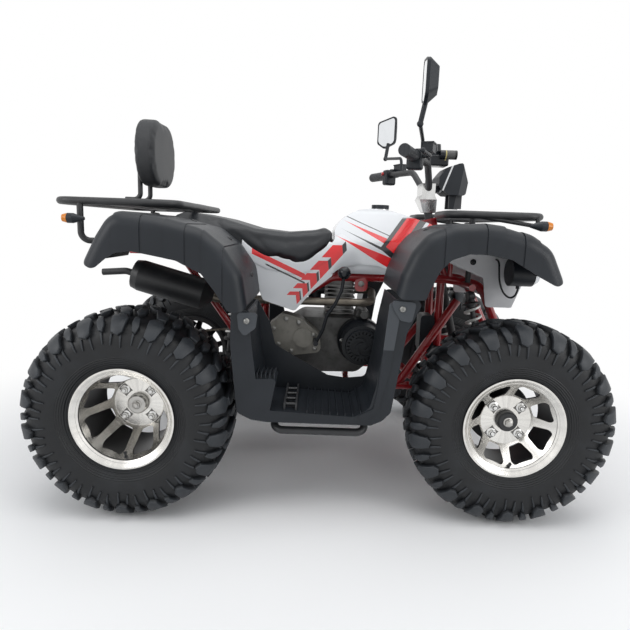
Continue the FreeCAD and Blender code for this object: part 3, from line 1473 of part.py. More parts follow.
def make_panels():
    points = side_points(panel_shares, panel_back_x, panel_length, panel_low_z, panel_height)
    outer = fender_inner_y - seat_gap
    keep("side_panels", *pair(slab(points, outer - panel_thickness, outer, panel_bend / 6)))
    deck = sheet(side_points(deck_shares, deck_back_x, deck_length, deck_low_z, deck_height),
                 panel_wall, -outer, outer, panel_bend)
    keep("rear_deck", deck)
    nose = sheet(side_points(nose_shares, nose_back_x, nose_length, nose_low_z, nose_height),
                 panel_wall, -outer, outer, panel_bend)
    side_path = side_points(nose_shares + nose_side_shares, nose_back_x, nose_length, nose_low_z, nose_height)
    side = slab(side_path, outer - panel_wall, outer, overrun / 2)
    throat = rod(stem_at(nose_low_z), stem_at(stem_top_z), bearing_radius + panel_wall)
    slots = []
    for i in range(grille_slots):
        slots.append(Part.makeBox(nose_length * grille_depth_share, 2 * grille_half_width, grille_slot, Vector(
            nose_back_x + nose_length * (1 - grille_depth_share) + overrun, -grille_half_width,
            nose_low_z + nose_height * grille_low_share + grille_pitch * i)))
    stay = cross_tube(front_stay_x, front_fender_outer_y, front_stay_z(), stay_radius + pin_gap)
    cable_exit = lamp_cable_path()[0]
    grommet = rod(Vector(cable_exit.x, outer - panel_wall, cable_exit.z),
                  Vector(cable_exit.x, outer + grommet_height, cable_exit.z), grommet_radius)
    shell = fused([nose] + pair(side) + pair(grommet))
    keep("nose_cowl", shell.cut(front_rack_legs(rack_leg_radius + pin_gap) + [throat, stay] + slots))


def make_footwells():
    size = (footwell_back_x, footwell_length, footwell_low_z, footwell_height)
    rear_top_z = rear_fender_low_z - seat_gap
    front_top_z = front_fender_low_z - seat_gap
    rear_low = side_points(rear_fender_low_shares[:1], rear_fender_back_x, rear_fender_length, rear_top_z, 0.0)
    front_low = side_points(front_fender_low_shares[-1:], front_fender_back_x, front_fender_length, front_top_z, 0.0)
    outer_path = rear_low + side_points(footwell_outer_shares, *size) + front_low
    rear_edge = Vector(rear_fender_top()[-1].x, 0, rear_top_z)
    front_edge = Vector(front_fender_back_x, 0, front_top_z)
    inner_path = [rear_edge] + side_points(footwell_inner_shares, *size) + [front_edge]
    wall_path = [rear_edge] + side_points(footwell_wall_shares, *size) + [front_edge]
    shell = sheet(inner_path, panel_wall, footwell_inner_y, footwell_outer_y, panel_bend / 2)
    flange = slab(outer_path + list(reversed(inner_path)), footwell_outer_y - panel_wall, footwell_outer_y,
                  panel_bend / 4)
    wall = slab(outer_path + list(reversed(wall_path)), footwell_inner_y, footwell_inner_y + panel_wall,
                panel_bend / 4)
    floor = footwell_floor()
    heel = slab(side_points(heel_shares, *size), footwell_outer_y - heel_depth, footwell_outer_y, overrun / 2)
    extras = [heel]
    heel_top = footwell_low_z + footwell_height * heel_top_share
    for i in range(heel_fin_count):
        share = heel_fin_start_share + (heel_fin_end_share - heel_fin_start_share) * i / (heel_fin_count - 1)
        extras.append(Part.makeBox(heel_fin_wall, heel_fin_length, 2 * heel_fin_height, Vector(
            footwell_back_x + footwell_length * share - heel_fin_wall, footwell_outer_y - heel_fin_length - panel_wall,
            heel_top - heel_fin_height)))
    for i in range(floor_rib_count):
        share = floor_rib_start_share + (floor_rib_end_share - floor_rib_start_share) * i / (floor_rib_count - 1)
        x = footwell_back_x + footwell_length * share
        extras.append(Part.makeBox(floor_rib_wall, footwell_outer_y - footwell_inner_y - panel_wall,
                                   floor_rib_height + panel_wall / 2,
                                   Vector(x, footwell_inner_y + panel_wall / 2,
                                          height_at(floor, x) - panel_wall / 2)))
    facet = slab(side_points(front_facet_shares, *size), footwell_outer_y - panel_wall / 2,
                 footwell_outer_y + facet_rise, overrun / 2)
    extras.append(facet)
    for shares in (front_corner_shares, rear_corner_shares):
        extras.append(slab(side_points(shares, *size), footwell_outer_y - panel_wall / 2,
                           footwell_outer_y + facet_rise + corner_rise, overrun / 2))
    both_sides("footwell", fused([shell, flange, wall] + extras))


def front_rack_legs(radius):
    foot = Vector(shock_top_x, rack_leg_y, tower_z + cross_tube_radius + seat_gap)
    return pair(rod(foot, Vector(foot.x, foot.y, front_rack_z), radius))


def rear_rack_leg(radius):
    """A leg from the rear rack down and inward to the end of the frame."""
    end_z = rear_frame_end().z
    joint_y = frame_half_width + frame_tube_radius + seat_gap
    return tube([
        Vector(rack_leg_x, rack_half_width, rear_rack_z),
        Vector(rack_leg_x, rack_half_width, end_z),
        Vector(rear_frame_x, rack_half_width - rack_bend, end_z),
        Vector(rear_frame_x, joint_y, end_z),
    ], radius, rack_bend / 2)


def rack(back_x, front_x, z, bars, back_notch_x):
    """A rack: a closed tube loop with cross bars; its rear bar steps forward to back_notch_x."""
    half = rack_half_width
    r = rack_tube_radius
    middle = (back_x + front_x) / 2
    front = tube([Vector(middle, half, z), Vector(front_x, half, z), Vector(front_x, 0, z)], r, rack_bend)
    back = [Vector(middle, half, z), Vector(back_x, half, z)]
    if back_notch_x > back_x:
        back += [Vector(back_x, half / 2, z), Vector(back_notch_x, half / 4, z)]
    back.append(Vector(back_notch_x, 0, z))
    rear = tube(back, r, rack_bend)
    return fused(pair(front) + pair(rear) + [cross_tube(x, half, z, rack_leg_radius) for x in bars])


def front_rail_end():
    """The front end of the front rack's lower rail on the left."""
    return Vector(front_rack_front_x - low_rail_inset, rack_half_width, front_rack_z - low_rail_drop)


def make_racks():
    bar_x = backrest_x - rack_bend / 2
    step = (rear_rack_front_x - bar_x) / 3
    rear = rack(rear_rack_back_x, rear_rack_front_x, rear_rack_z,
                [bar_x, bar_x + step, bar_x + 2 * step], rear_rack_back_x)
    plate_top = rear_rack_z + rack_leg_radius + rack_plate_wall / 2
    plate = Part.makeBox(rear_rack_front_x - rear_rack_back_x, 2 * rack_plate_half_width, rack_plate_wall,
                         Vector(rear_rack_back_x, -rack_plate_half_width, plate_top - rack_plate_wall))
    holes = []
    for along in (-1, 1):
        for across in (-1, 1):
            hole = Vector(bar_x + 2 * step + along * rack_plate_spacing_x / 2,
                          across * rack_plate_spacing_y / 2, plate_top)
            holes.append(rod(hole - Z_AXIS * overrun, hole + Z_AXIS * overrun, rack_plate_hole_radius))
    legs = pair(rear_rack_leg(rack_leg_radius))
    rear_rack = fused([rear, plate] + legs).cut(holes)
    notch_x = stem_at(front_rack_z).x + flange_radius + rack_tube_radius + column_gap
    front = rack(front_rack_back_x, front_rack_front_x, front_rack_z,
                 [shock_top_x, shock_top_x + rack_bend * front_bar_bends], notch_x)
    rail_front = front_rail_end()
    low_rail = rod(Vector(front_rack_back_x + rack_bend, rack_half_width, front_rack_z), rail_front, low_rail_radius)
    end_post = rod(rail_front, Vector(rail_front.x, rack_half_width, front_rack_z), low_rail_radius)
    lower = pair(low_rail.fuse(end_post))
    keep("front_rack", fused([front] + lower + front_rack_legs(rack_leg_radius)))

    foot_z = plate_top + seat_gap + backrest_post_radius
    post = tube([
        Vector(backrest_x - rack_bend, backrest_post_y, foot_z), Vector(backrest_x, backrest_post_y, foot_z),
        Vector(backrest_x, backrest_post_y, pad_low_z + pad_height / 2),
    ], backrest_post_radius, rack_bend / 2)
    keep("rear_rack", rear_rack, *pair(post))
    pad_x = backrest_x + backrest_post_radius + seat_gap
    pad = outline_face([
        Vector(pad_x, -pad_half_width, pad_low_z), Vector(pad_x, pad_half_width, pad_low_z),
        Vector(pad_x, pad_half_width, pad_low_z + pad_height), Vector(pad_x, -pad_half_width, pad_low_z + pad_height),
    ], pad_half_width * pad_corner_share).extrude(Vector(pad_thickness, 0, 0))
    keep("backrest_pad", pad)


def footwell_floor():
    return side_points(footwell_inner_shares, footwell_back_x, footwell_length, footwell_low_z, footwell_height)


def make_foot_rails():
    """A step tube under each footwell, from the lower rail and back to it, and a peg on each floor."""
    low_z = footwell_low_z - seat_gap - rack_tube_radius
    root_y = frame_half_width + frame_tube_radius + seat_gap
    level_y = footwell_inner_y - rack_bend / 2
    bend_y = (root_y + level_y) / 2
    points = []
    for x, ends in ((foot_rail_back_x, False), (foot_rail_front_x, True)):
        leg = [Vector(x, root_y, rail_z), Vector(x, bend_y, rail_z), Vector(x, level_y, low_z),
               Vector(x, foot_rail_y - foot_rail_shoulder, low_z), Vector(x, foot_rail_y, low_z - foot_rail_drop)]
        points += list(reversed(leg)) if ends else leg
    peg_x = footwell_back_x + peg_x_share * footwell_length
    start_y = footwell_inner_y + panel_wall + peg_inset
    length = footwell_outer_y - panel_wall - peg_inset - start_y
    floor = footwell_floor()
    bars = []
    for side in (-1, 1):
        x = peg_x + side * peg_gauge / 2 - peg_bar_wall / 2
        bars.append(Part.makeBox(peg_bar_wall, length, peg_bar_height,
                                 Vector(x, start_y, height_at(floor, x) + seat_gap)))
    for i in range(peg_rungs):
        y = start_y + length * (2 * i + 1) / (2 * peg_rungs)
        z = height_at(floor, peg_x) + peg_bar_height / 2
        bars.append(rod(Vector(peg_x - peg_gauge / 2, y, z), Vector(peg_x + peg_gauge / 2, y, z), peg_rung_radius))
    keep("foot_rails", *(pair(tube(points, rack_tube_radius, rack_bend / 2)) + pair(fused(bars))))


def rear_frame_end():
    end = rear_frame_points()[-1]
    return Vector(end.x, 0, end.z)


def headlamp(radius):
    start = Vector(lamp_back_x, lamp_y, lamp_z)
    return rod(start, start + X_AXIS * lamp_length, radius)


def signal(base, stalk_way, lens_way):
    """A pointed turn signal on a short stalk; its lens faces along lens_way."""
    centre = base + stalk_way * (signal_stalk_length + signal_radius)
    shell_length = signal_length - signal_lens_length
    profile = Part.makePolygon([
        Vector(0, 0, 0), Vector(0, signal_radius / 3, 0), Vector(shell_length * 2 / 3, signal_radius, 0),
        Vector(shell_length, signal_radius, 0), Vector(signal_length, signal_radius * 3 / 4, 0),
        Vector(signal_length, 0, 0), Vector(0, 0, 0),
    ])
    body = Part.Face(profile).revolve(Vector(0, 0, 0), X_AXIS, 360)
    if lens_way.x < 0:
        body.rotate(Vector(0, 0, 0), Z_AXIS, 180)
    body.translate(centre - lens_way * (shell_length * 2 / 3))
    return fused([body, rod(base, centre, signal_stalk_radius)])


def make_lamps():
    face = Vector(lamp_back_x + lamp_length, lamp_y, lamp_z)
    glass = Part.makeCone(lamp_radius, lamp_radius * 3 / 4, lamp_face_depth, face - X_AXIS * lamp_face_depth, X_AXIS)
    barrel = rod(Vector(lamp_back_x, lamp_y, lamp_z), face - X_AXIS * lamp_face_depth, lamp_radius)
    under = Vector(lamp_back_x + socket_ahead, lamp_y, lamp_z - lamp_radius)
    socket = rod(under + Z_AXIS * lamp_radius / 2, under - Z_AXIS * socket_height, socket_radius)
    keep("headlamps", *pair(fused([barrel, glass, socket])))
    end = rear_frame_end()
    tail_low_z = end.z - cross_tube_radius - seat_gap - tail_height
    tail = Part.makeBox(tail_depth, 2 * tail_half_width, tail_height,
                        Vector(end.x - tail_depth, -tail_half_width, tail_low_z))
    keep("tail_lamp", tail)
    beside = Vector(rack_leg_x, rack_half_width + rack_leg_radius + seat_gap, rear_rack_z - rack_bend)
    rail_end = front_rail_end() + Vector(-low_rail_radius, low_rail_radius + seat_gap, 0)
    rear = signal(beside, Y_AXIS, -X_AXIS)
    front = signal(rail_end, Y_AXIS, X_AXIS)
    keep("turn_signals", *(pair(rear) + pair(front)))


def make_lamp_cable():
    """One cable as straight runs joined by tangent arcs; its bend radii are printed."""
    points = lamp_cable_path()
    cable = tube(points, cable_radius, cable_bend)
    length = cable.Volume / (math.pi * cable_radius ** 2)
    for before, corner, after in zip(points, points[1:], points[2:]):
        start, middle, end = corner_arc(before, corner, after, cable_bend)
        print("lamp_cable bend radius", round(Part.Arc(start, middle, end).toShape().Curve.Radius, 1))
    print("lamp_cable length", round(length, 1))
    keep("lamp_cable", cable)


def make_controls():
    """Beside each grip: the clamp, the switch box, the brake reservoir and the lever."""
    inner, outer = bar_path()[-2:]
    way = (outer - inner).normalize()
    ahead = way.cross(Z_AXIS)
    turn = deg(math.atan2(ahead.y, ahead.x))
    grip_start = outer - way * (grip_length - bar_radius)
    root = grip_start - way * (seat_gap + housing_length / 2)
    clamp = rod(root - way * (housing_length / 2), root + way * (housing_length / 2), housing_radius)
    half = housing_length / 2
    box = Part.makeBox(switch_depth, housing_length, housing_radius + switch_drop,
                       Vector(-switch_depth / 2, -half, -switch_drop))
    cup = Part.makeBox(reservoir_width, reservoir_length, reservoir_height,
                       Vector(reservoir_ahead - reservoir_width / 2, -reservoir_length, reservoir_rise))
    lid = Part.makeBox(reservoir_width + switch_wall / 2, reservoir_length + switch_wall / 2, switch_wall / 2, Vector(
        reservoir_ahead - reservoir_width / 2 - switch_wall / 4, -reservoir_length - switch_wall / 4,
        reservoir_rise + reservoir_height))
    neck = Part.makeBox(reservoir_ahead, reservoir_width / 2, 2 * switch_wall, Vector(0, -half, reservoir_rise / 2))
    block = box.makeFillet(switch_wall, box.Edges).fuse([cup, lid, neck])
    block.rotate(Vector(0, 0, 0), Z_AXIS, turn)
    block.translate(root)
    tip = root + ahead * lever_reach + way * lever_length
    lever = tube([root, root + ahead * lever_reach, tip], lever_radius, lever_reach / 3)
    ball = Part.makeSphere(lever_ball_radius, tip)
    bore = rod(inner - way * overrun, outer, bar_radius + seat_gap)
    keep("controls", *pair(fused([clamp, block, lever, ball]).cut(bore)))


def mirror(sign, turn):
    """A mirror head with a recess for its glass, its ball joint and its stem; turn swings it inward."""
    bar = bar_path()
    base = bar[2] + (bar[3] - bar[2]) * mirror_base_share + Z_AXIS * (bar_radius + seat_gap)
    base = Vector(base.x, sign * base.y, base.z)
    centre = Vector(mirror_x, sign * mirror_y, mirror_z)
    joint = Vector(mirror_x, sign * (mirror_y - overrun), mirror_z - mirror_joint_drop)

    def ring(share, x):
        points = [Vector(x, sign * mirror_width * across * share, mirror_height * up * share)
                  for across, up in mirror_shares]
        return Part.Wire(rounded_edges(points, mirror_bend * share, True))

    rim_solid = Part.Face(ring(1.0, 0.0)).extrude(X_AXIS * mirror_rim_depth)
    back = Part.makeLoft([ring(1.0, mirror_rim_depth), ring(mirror_back_share, mirror_depth)], True, True)
    recess = Part.Face(ring(mirror_glass_share, 0.0)).extrude(X_AXIS * mirror_sink)
    head = rim_solid.fuse(back).cut(recess)
    head.rotate(Vector(0, 0, 0), Z_AXIS, sign * turn)
    head.translate(centre)
    way = (centre + X_AXIS * (mirror_depth / 2) - joint).normalize()
    neck = rod(joint, joint + way * (mirror_joint_drop - mirror_height / 3), mirror_neck_radius)
    stem = tube([base, base + Z_AXIS * mirror_rise, joint], mirror_stem_radius, overrun)
    return fused([head, neck, stem, Part.makeSphere(mirror_ball_radius, joint)])


def make_bar_items():
    post = Vector(stem_top_x, 0, bar_path()[0].z + bar_radius * 3 / 2 + seat_gap)
    base_z = post.z + gauge_rise
    base = Part.makeBox(gauge_base_length, 2 * gauge_base_half_width, gauge_base_height,
                        Vector(post.x, -gauge_base_half_width, base_z))
    cup_at = Vector(post.x + gauge_ahead, 0, base_z + gauge_base_height / 2)
    cup = Part.makeCylinder(gauge_radius, gauge_height, cup_at)
    cup.rotate(cup_at, Y_AXIS, -gauge_tilt)
    neck = rod(post, Vector(post.x, 0, base_z + gauge_base_height / 2), bar_radius / 2)
    horn_at = Vector(post.x + gauge_base_length / 2, -gauge_base_half_width, base_z + gauge_base_height)
    horn = rod(horn_at, horn_at + X_AXIS * horn_length, horn_radius)
    keep("gauge", fused([base.makeFillet(bar_radius / 2, base.Edges), cup, neck, horn]))

    pod_back_x = stem_top_x + riser_radius + pod_gap
    size = (pod_back_x, pod_length, stem_top_z + pod_low_offset, pod_height)
    pod = slab(side_points(pod_shares, *size), -pod_half_width, pod_half_width, bar_radius)
    arm_low_z = stem_top_z + bar_rise_height - bar_radius
    arm = Part.makeBox(pod_gap + pod_length / 2, 2 * pod_leg_half_width, 2 * bar_radius,
                       Vector(pod_back_x - pod_gap + seat_gap, -pod_leg_half_width, arm_low_z))
    legs = []
    low = side_points(pod_leg_shares, *size)
    for sign in (1, -1):
        legs.append(Part.makeBox(low[1].x - low[0].x, switch_wall, pod_leg_drop + overrun, Vector(
            low[0].x, sign * pod_leg_half_width - switch_wall / 2, low[0].z - pod_leg_drop)))
    keep("headlight_pod", fused([pod, arm] + legs))
    keep("mirrors", mirror(1, mirror_left_turn), mirror(-1, mirror_right_turn))


def build():
    make_wheels()
    make_rear_axle()
    make_steering()
    make_knuckles()
    make_tie_rods()
    make_frames()
    make_nose_frame()
    make_rear_frame()
    make_suspension()
    make_engine()
    make_gear_lever()
    make_chain()
    make_seat()
    make_tank()
    make_panels()
    make_fenders()
    make_footwells()
    make_racks()
    make_foot_rails()
    make_lamps()
    make_lamp_cable()
    make_controls()
    make_bar_items()


build()
os.makedirs("parts", exist_ok=True)
for name, shape in parts.items():
    if not shape.isValid():
        print(name, "is not valid")
    print(name, len(shape.Solids), round(shape.Volume))
    shape.exportStep(os.path.join("parts", name + ".step"))
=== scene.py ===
# %% [markdown]
# # A quad bike, dressed for its portrait
# The solid model comes in as a fixed frame: every tube, panel and cover is already at its true size and place.
# This lesson gives each of them a finish, models what a solid model leaves plain, such as tread, padding and
# screws, and sets up a camera and soft studio light.

# %% The frame
import math

import bpy
import numpy as np
from mathutils import Matrix, Vector


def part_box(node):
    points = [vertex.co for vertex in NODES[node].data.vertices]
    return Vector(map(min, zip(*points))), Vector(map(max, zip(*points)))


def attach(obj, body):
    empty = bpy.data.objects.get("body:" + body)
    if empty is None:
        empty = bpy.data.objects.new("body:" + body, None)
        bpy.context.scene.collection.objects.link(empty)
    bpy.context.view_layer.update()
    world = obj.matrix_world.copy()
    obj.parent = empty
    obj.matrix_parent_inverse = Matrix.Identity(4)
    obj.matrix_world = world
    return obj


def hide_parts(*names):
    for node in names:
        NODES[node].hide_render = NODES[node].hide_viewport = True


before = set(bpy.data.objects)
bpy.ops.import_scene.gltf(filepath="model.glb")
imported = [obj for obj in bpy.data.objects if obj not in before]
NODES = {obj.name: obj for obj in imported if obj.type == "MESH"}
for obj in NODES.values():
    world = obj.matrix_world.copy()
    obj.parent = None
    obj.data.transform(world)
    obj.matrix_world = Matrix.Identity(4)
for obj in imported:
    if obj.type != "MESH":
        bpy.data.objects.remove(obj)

bpy.ops.object.select_all(action="DESELECT")
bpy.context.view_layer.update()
print("solids in the frame:", len(NODES))

# %% [markdown]
# ## Camera
# The picture was taken with a wide lens from about two metres, level with the seat. The camera stands at the
# photographer's place, looks slightly down and is tilted a little, as a camera held by hand is.

# %% Camera
PICTURE_SIDE = 630
FOCAL_PIXELS = 514.47
SENSOR = 36.0
EYE = Vector((-0.0237, -1.8271, 0.8208))
YAW, PITCH, ROLL = -0.0002, 0.1697, 0.0342

ahead = Vector((math.sin(YAW) * math.cos(PITCH), math.cos(YAW) * math.cos(PITCH), -math.sin(PITCH)))
level = Vector((math.cos(YAW), -math.sin(YAW), 0.0))
above = level.cross(ahead)
right = math.cos(ROLL) * level + math.sin(ROLL) * above
up = -math.sin(ROLL) * level + math.cos(ROLL) * above
bpy.ops.object.camera_add()
camera = bpy.context.object
camera.matrix_world = Matrix.Translation(EYE) @ Matrix((right, up, -ahead)).transposed().to_4x4()
camera.data.sensor_fit = "HORIZONTAL"
camera.data.sensor_width = SENSOR
camera.data.lens = FOCAL_PIXELS / PICTURE_SIDE * SENSOR
bpy.context.scene.camera = camera
print("lens in mm:", round(camera.data.lens, 2))

# %% [markdown]
# ## A kit for shaders
# A finish is a small graph of nodes. Written as sums it stays readable, so one class wraps a socket and gives it
# plus, minus and times. A second class makes the nodes of one graph, and a third holds a material.


# %% The shader kit
class Wire:
    """One output socket of a graph. It takes part in sums as a number does."""

    def __init__(self, graph, socket):
        self.graph = graph
        self.socket = socket

    def maths(self, operation, *others):
        values = dict(enumerate((self,) + others))
        return self.graph.node("ShaderNodeMath", {"operation": operation}, values)

    def __add__(self, other):
        return self.maths("ADD", other)

    def __sub__(self, other):
        return self.maths("SUBTRACT", other)

    def __rsub__(self, other):
        return self.graph.node("ShaderNodeMath", {"operation": "SUBTRACT"}, {0: other, 1: self})

    def __mul__(self, other):
        return self.maths("MULTIPLY", other)

    __radd__ = __add__
    __rmul__ = __mul__

    def __abs__(self):
        return self.maths("ABSOLUTE")

    def rise(self, low, high):
        """0 below low and 1 above high, with a soft step between."""
        limits = {"Value": self, "From Min": low, "From Max": high}
        return self.graph.node("ShaderNodeMapRange", {"interpolation_type": "SMOOTHSTEP"}, limits)

    def band(self, low, high, soft=0.0004):
        return self.rise(low - soft, low + soft) * (1 - self.rise(high - soft, high + soft))


class Graph:
    """An empty tree of nodes to be filled."""

    def __init__(self, owner):
        owner.use_nodes = True
        self.tree = owner.node_tree
        self.tree.nodes.clear()

    def put(self, socket, value):
        if isinstance(value, Wire):
            self.tree.links.new(value.socket, socket)
        elif isinstance(value, tuple) and len(socket.default_value) > len(value):
            socket.default_value = value + (1.0,)
        else:
            socket.default_value = value

    def node(self, kind, settings, inputs, output=0):
        made = self.tree.nodes.new(kind)
        for name, value in settings.items():
            setattr(made, name, value)
        for key, value in inputs.items():
            self.put(made.inputs[key], value)
        return Wire(self, made.outputs[output]) if made.outputs else None

    def directly_seen(self):
        """1 for what the camera sees, also in a gloss or through glass, and 0 for light that only bounces."""
        kinds = ("Camera", "Glossy", "Transmission")
        rays = [self.node("ShaderNodeLightPath", {}, {}, f"Is {kind} Ray") for kind in kinds]
        return rays[0].maths("MAXIMUM", rays[1]).maths("MAXIMUM", rays[2])


class Finish(Graph):
    """A material, built from one principled shader and whatever nodes feed it."""

    def __init__(self, name):
        self.material = bpy.data.materials.new(name)
        super().__init__(self.material)
        self.shader = self.tree.nodes.new("ShaderNodeBsdfPrincipled")
        self.output = self.tree.nodes.new("ShaderNodeOutputMaterial")
        self.tree.links.new(self.shader.outputs[0], self.output.inputs[0])
        self.place = self.node("ShaderNodeTexCoord", {}, {}, "Object")

    def parts(self, vector):
        return [self.node("ShaderNodeSeparateXYZ", {}, {0: vector}, i) for i in range(3)]

    def facing(self, axis):
        """How far the surface faces along one of the object's axes, from -1 to 1."""
        return self.parts(self.node("ShaderNodeTexCoord", {}, {}, "Normal"))[axis]

    def blend(self, mask, first, second):
        """The first colour where the mask is 0, and the second where it is 1."""
        return self.node("ShaderNodeMix", {"data_type": "RGBA"}, {0: mask, 6: first, 7: second}, 2)

    def noise(self, scale, detail=3.0, where=None):
        values = {"Vector": where or self.place, "Scale": scale, "Detail": detail}
        return self.node("ShaderNodeTexNoise", {}, values, "Fac")

    def cells(self, scale, feature="F1"):
        values = {"Vector": self.place, "Scale": scale}
        return self.node("ShaderNodeTexVoronoi", {"feature": feature}, values, "Distance")

    def bump(self, height, distance, strength=1.0):
        values = {"Strength": strength, "Distance": distance, "Height": height}
        self.put(self.shader.inputs["Normal"], self.node("ShaderNodeBump", {}, values))

    def surface(self, **values):
        for name, value in values.items():
            self.put(self.shader.inputs[name.replace("_", " ")], value)
        return self


# %% [markdown]
# ## Moulded black plastic
# Fenders, footwells and lamp pods are moulded from charcoal polypropylene. Its skin has a fine grain, a soft sheen
# that varies with handling, and a dusting of pale scuffs. Noise at two scales drives roughness and bump.

# %% Black plastic
def black_plastic(name="black_plastic", tone=0.012, grain=900.0, trim=None):
    """Trim is a function that adds a second colour to the plastic, such as a lens or a bezel."""
    finish = Finish(name)
    cloud = finish.noise(9.0, 4.0)
    fine = finish.noise(grain, 2.0)
    scuff = finish.noise(55.0, 6.0).rise(0.62, 0.78)
    base = (tone * 0.70, tone * 0.92, tone * 1.25)
    pale = (tone * 1.7, tone * 2.05, tone * 2.6)
    colour = finish.blend(cloud.rise(0.35, 0.75) * 0.35 + scuff * 0.10, base, pale)
    roughness = 0.36 + cloud * 0.16 + scuff * 0.08
    metallic = 0.0
    if trim:
        colour, roughness, metallic = trim(finish, colour, roughness)
    finish.surface(Base_Color=colour, Roughness=roughness, Metallic=metallic, Specular_IOR_Level=0.35)
    finish.bump(fine + finish.cells(grain * 0.6) * 0.6, 0.00025, 0.5)
    return finish


plastic = black_plastic()
gloss_black = black_plastic("gloss_black", 0.008, 300.0)
print("made:", plastic.material.name, gloss_black.material.name)

# %% [markdown]
# ## Rubber
# Tyre rubber is nearly black with a blue-grey sheen. The tops of the lugs are painted paler than the valleys, partly
# as scuffs and partly as a painted highlight on the raised blocks. Each tyre carries an attribute, lug, that is 0 on
# the casing and 1 on top of a block.

# %% Tyre and grip rubber
WHEEL_X = 0.535
AXLE_Z = 0.292


def wheel_radius(finish):
    """The distance from the axle, the same sum for all four wheels."""
    x, y, z = finish.parts(finish.place)
    out = abs(x) - WHEEL_X
    height = z - AXLE_Z
    return (out * out + height * height).maths("SQRT"), y, out, height


def rubber(name, tone, treaded_with_sheen, ribbed=False):
    finish = Finish(name)
    cloud = finish.noise(14.0, 5.0)
    fine = finish.noise(700.0, 3.0)
    base = (tone * 0.85, tone, tone * 1.25)
    # a pale blue-grey that stands for dust, and on the lug tops also for a painted highlight
    dust_and_sheen = (0.042, 0.048, 0.056)
    if treaded_with_sheen:
        # painted highlight: the tops of the lugs are blended toward the paler colour, partly scuffs and partly
        # painted sheen
        lug_top_sheen = finish.node("ShaderNodeAttribute", {"attribute_name": "lug"}, {}, "Fac").rise(0.35, 0.95)
        mask = lug_top_sheen * 0.50 + cloud.rise(0.42, 0.75) * 0.16
    else:
        mask = cloud.rise(0.5, 0.8) * 0.1
    colour = finish.blend(mask, base, dust_and_sheen)
    finish.surface(Base_Color=colour, Roughness=0.40 + cloud * 0.18, Specular_IOR_Level=0.4)
    skin = fine + finish.noise(160.0, 4.0) * 1.5
    if treaded_with_sheen:
        radius = wheel_radius(finish)[0]
        skin = skin + (radius * 1100.0).maths("SINE") * radius.band(0.148, 0.176) * 5.0
    if ribbed:
        y = finish.parts(finish.place)[1]
        skin = skin * 0.2 + (y * 1500.0).maths("SINE").rise(-0.2, 0.5) * 3.0
    finish.bump(skin, 0.0003, 0.6)
    return finish


tyre_rubber = rubber("tyre_rubber", 0.0055, True)
grip_rubber = rubber("grip_rubber", 0.018, False, True)
cable_rubber = rubber("cable_rubber", 0.012, False)
print("made:", tyre_rubber.material.name, grip_rubber.material.name, cable_rubber.material.name)

# %% [markdown]
# ## Paint, powder coat and bare metal
# The tube frame is red and glossy, the small brackets and bars are black powder coat, fasteners and rods are
# zinc plated, and the engine is cast alloy with a dull grey skin.

# %% Paint and metals
def paint(name, colour, dark, roughness, coat):
    finish = Finish(name)
    cloud = finish.noise(6.0, 3.0)
    finish.surface(
        Base_Color=finish.blend(cloud.rise(0.3, 0.8), colour, dark),
        Roughness=roughness + cloud * 0.08,
        Coat_Weight=coat,
        Coat_Roughness=0.08,
    )
    finish.bump(finish.noise(260.0, 2.0), 0.0002, 0.25)
    return finish


def metal(name, colour, dark, roughness, metallic=1.0, grain=420.0, depth=0.0002):
    finish = Finish(name)
    cloud = finish.noise(24.0, 5.0)
    stain = finish.noise(70.0, 6.0).rise(0.5, 0.8)
    finish.surface(
        Base_Color=finish.blend(cloud.rise(0.35, 0.8) * 0.6 + stain * 0.4, colour, dark),
        Roughness=roughness + cloud * 0.16 + stain * 0.08,
        Metallic=metallic,
    )
    finish.bump(finish.noise(grain, 3.0), depth, 0.5)
    return finish


red_frame = paint("red_frame", (0.36, 0.008, 0.012), (0.25, 0.005, 0.009), 0.24, 0.7)
dark_steel = metal("dark_steel", (0.018, 0.019, 0.021), (0.035, 0.036, 0.038), 0.38, 0.0, 520.0)
plain_steel = metal("plain_steel", (0.52, 0.51, 0.49), (0.30, 0.29, 0.27), 0.28)
bright_steel = metal("bright_steel", (0.72, 0.72, 0.71), (0.55, 0.55, 0.54), 0.16, 1.0, 500.0, 0.0001)
spring_steel = metal("spring_steel", (0.74, 0.74, 0.72), (0.58, 0.57, 0.55), 0.34, 0.4)
engine_metal = metal("engine_metal", (0.10, 0.10, 0.098), (0.035, 0.035, 0.034), 0.40, 0.6, 300.0, 0.0004)
cover_metal = metal("cover_metal", (0.235, 0.225, 0.20), (0.13, 0.125, 0.11), 0.46, 0.35, 260.0, 0.0004)
fin_metal = metal("fin_metal", (0.34, 0.34, 0.335), (0.16, 0.16, 0.155), 0.42, 0.7, 300.0, 0.0004)
dull_zinc = metal("dull_zinc", (0.30, 0.30, 0.29), (0.18, 0.18, 0.17), 0.36, 0.9, 420.0, 0.0002)
chain_steel = metal("chain_steel", (0.20, 0.18, 0.15), (0.08, 0.07, 0.06), 0.42, 0.9, 300.0, 0.0003)
print("made the paints and metals")
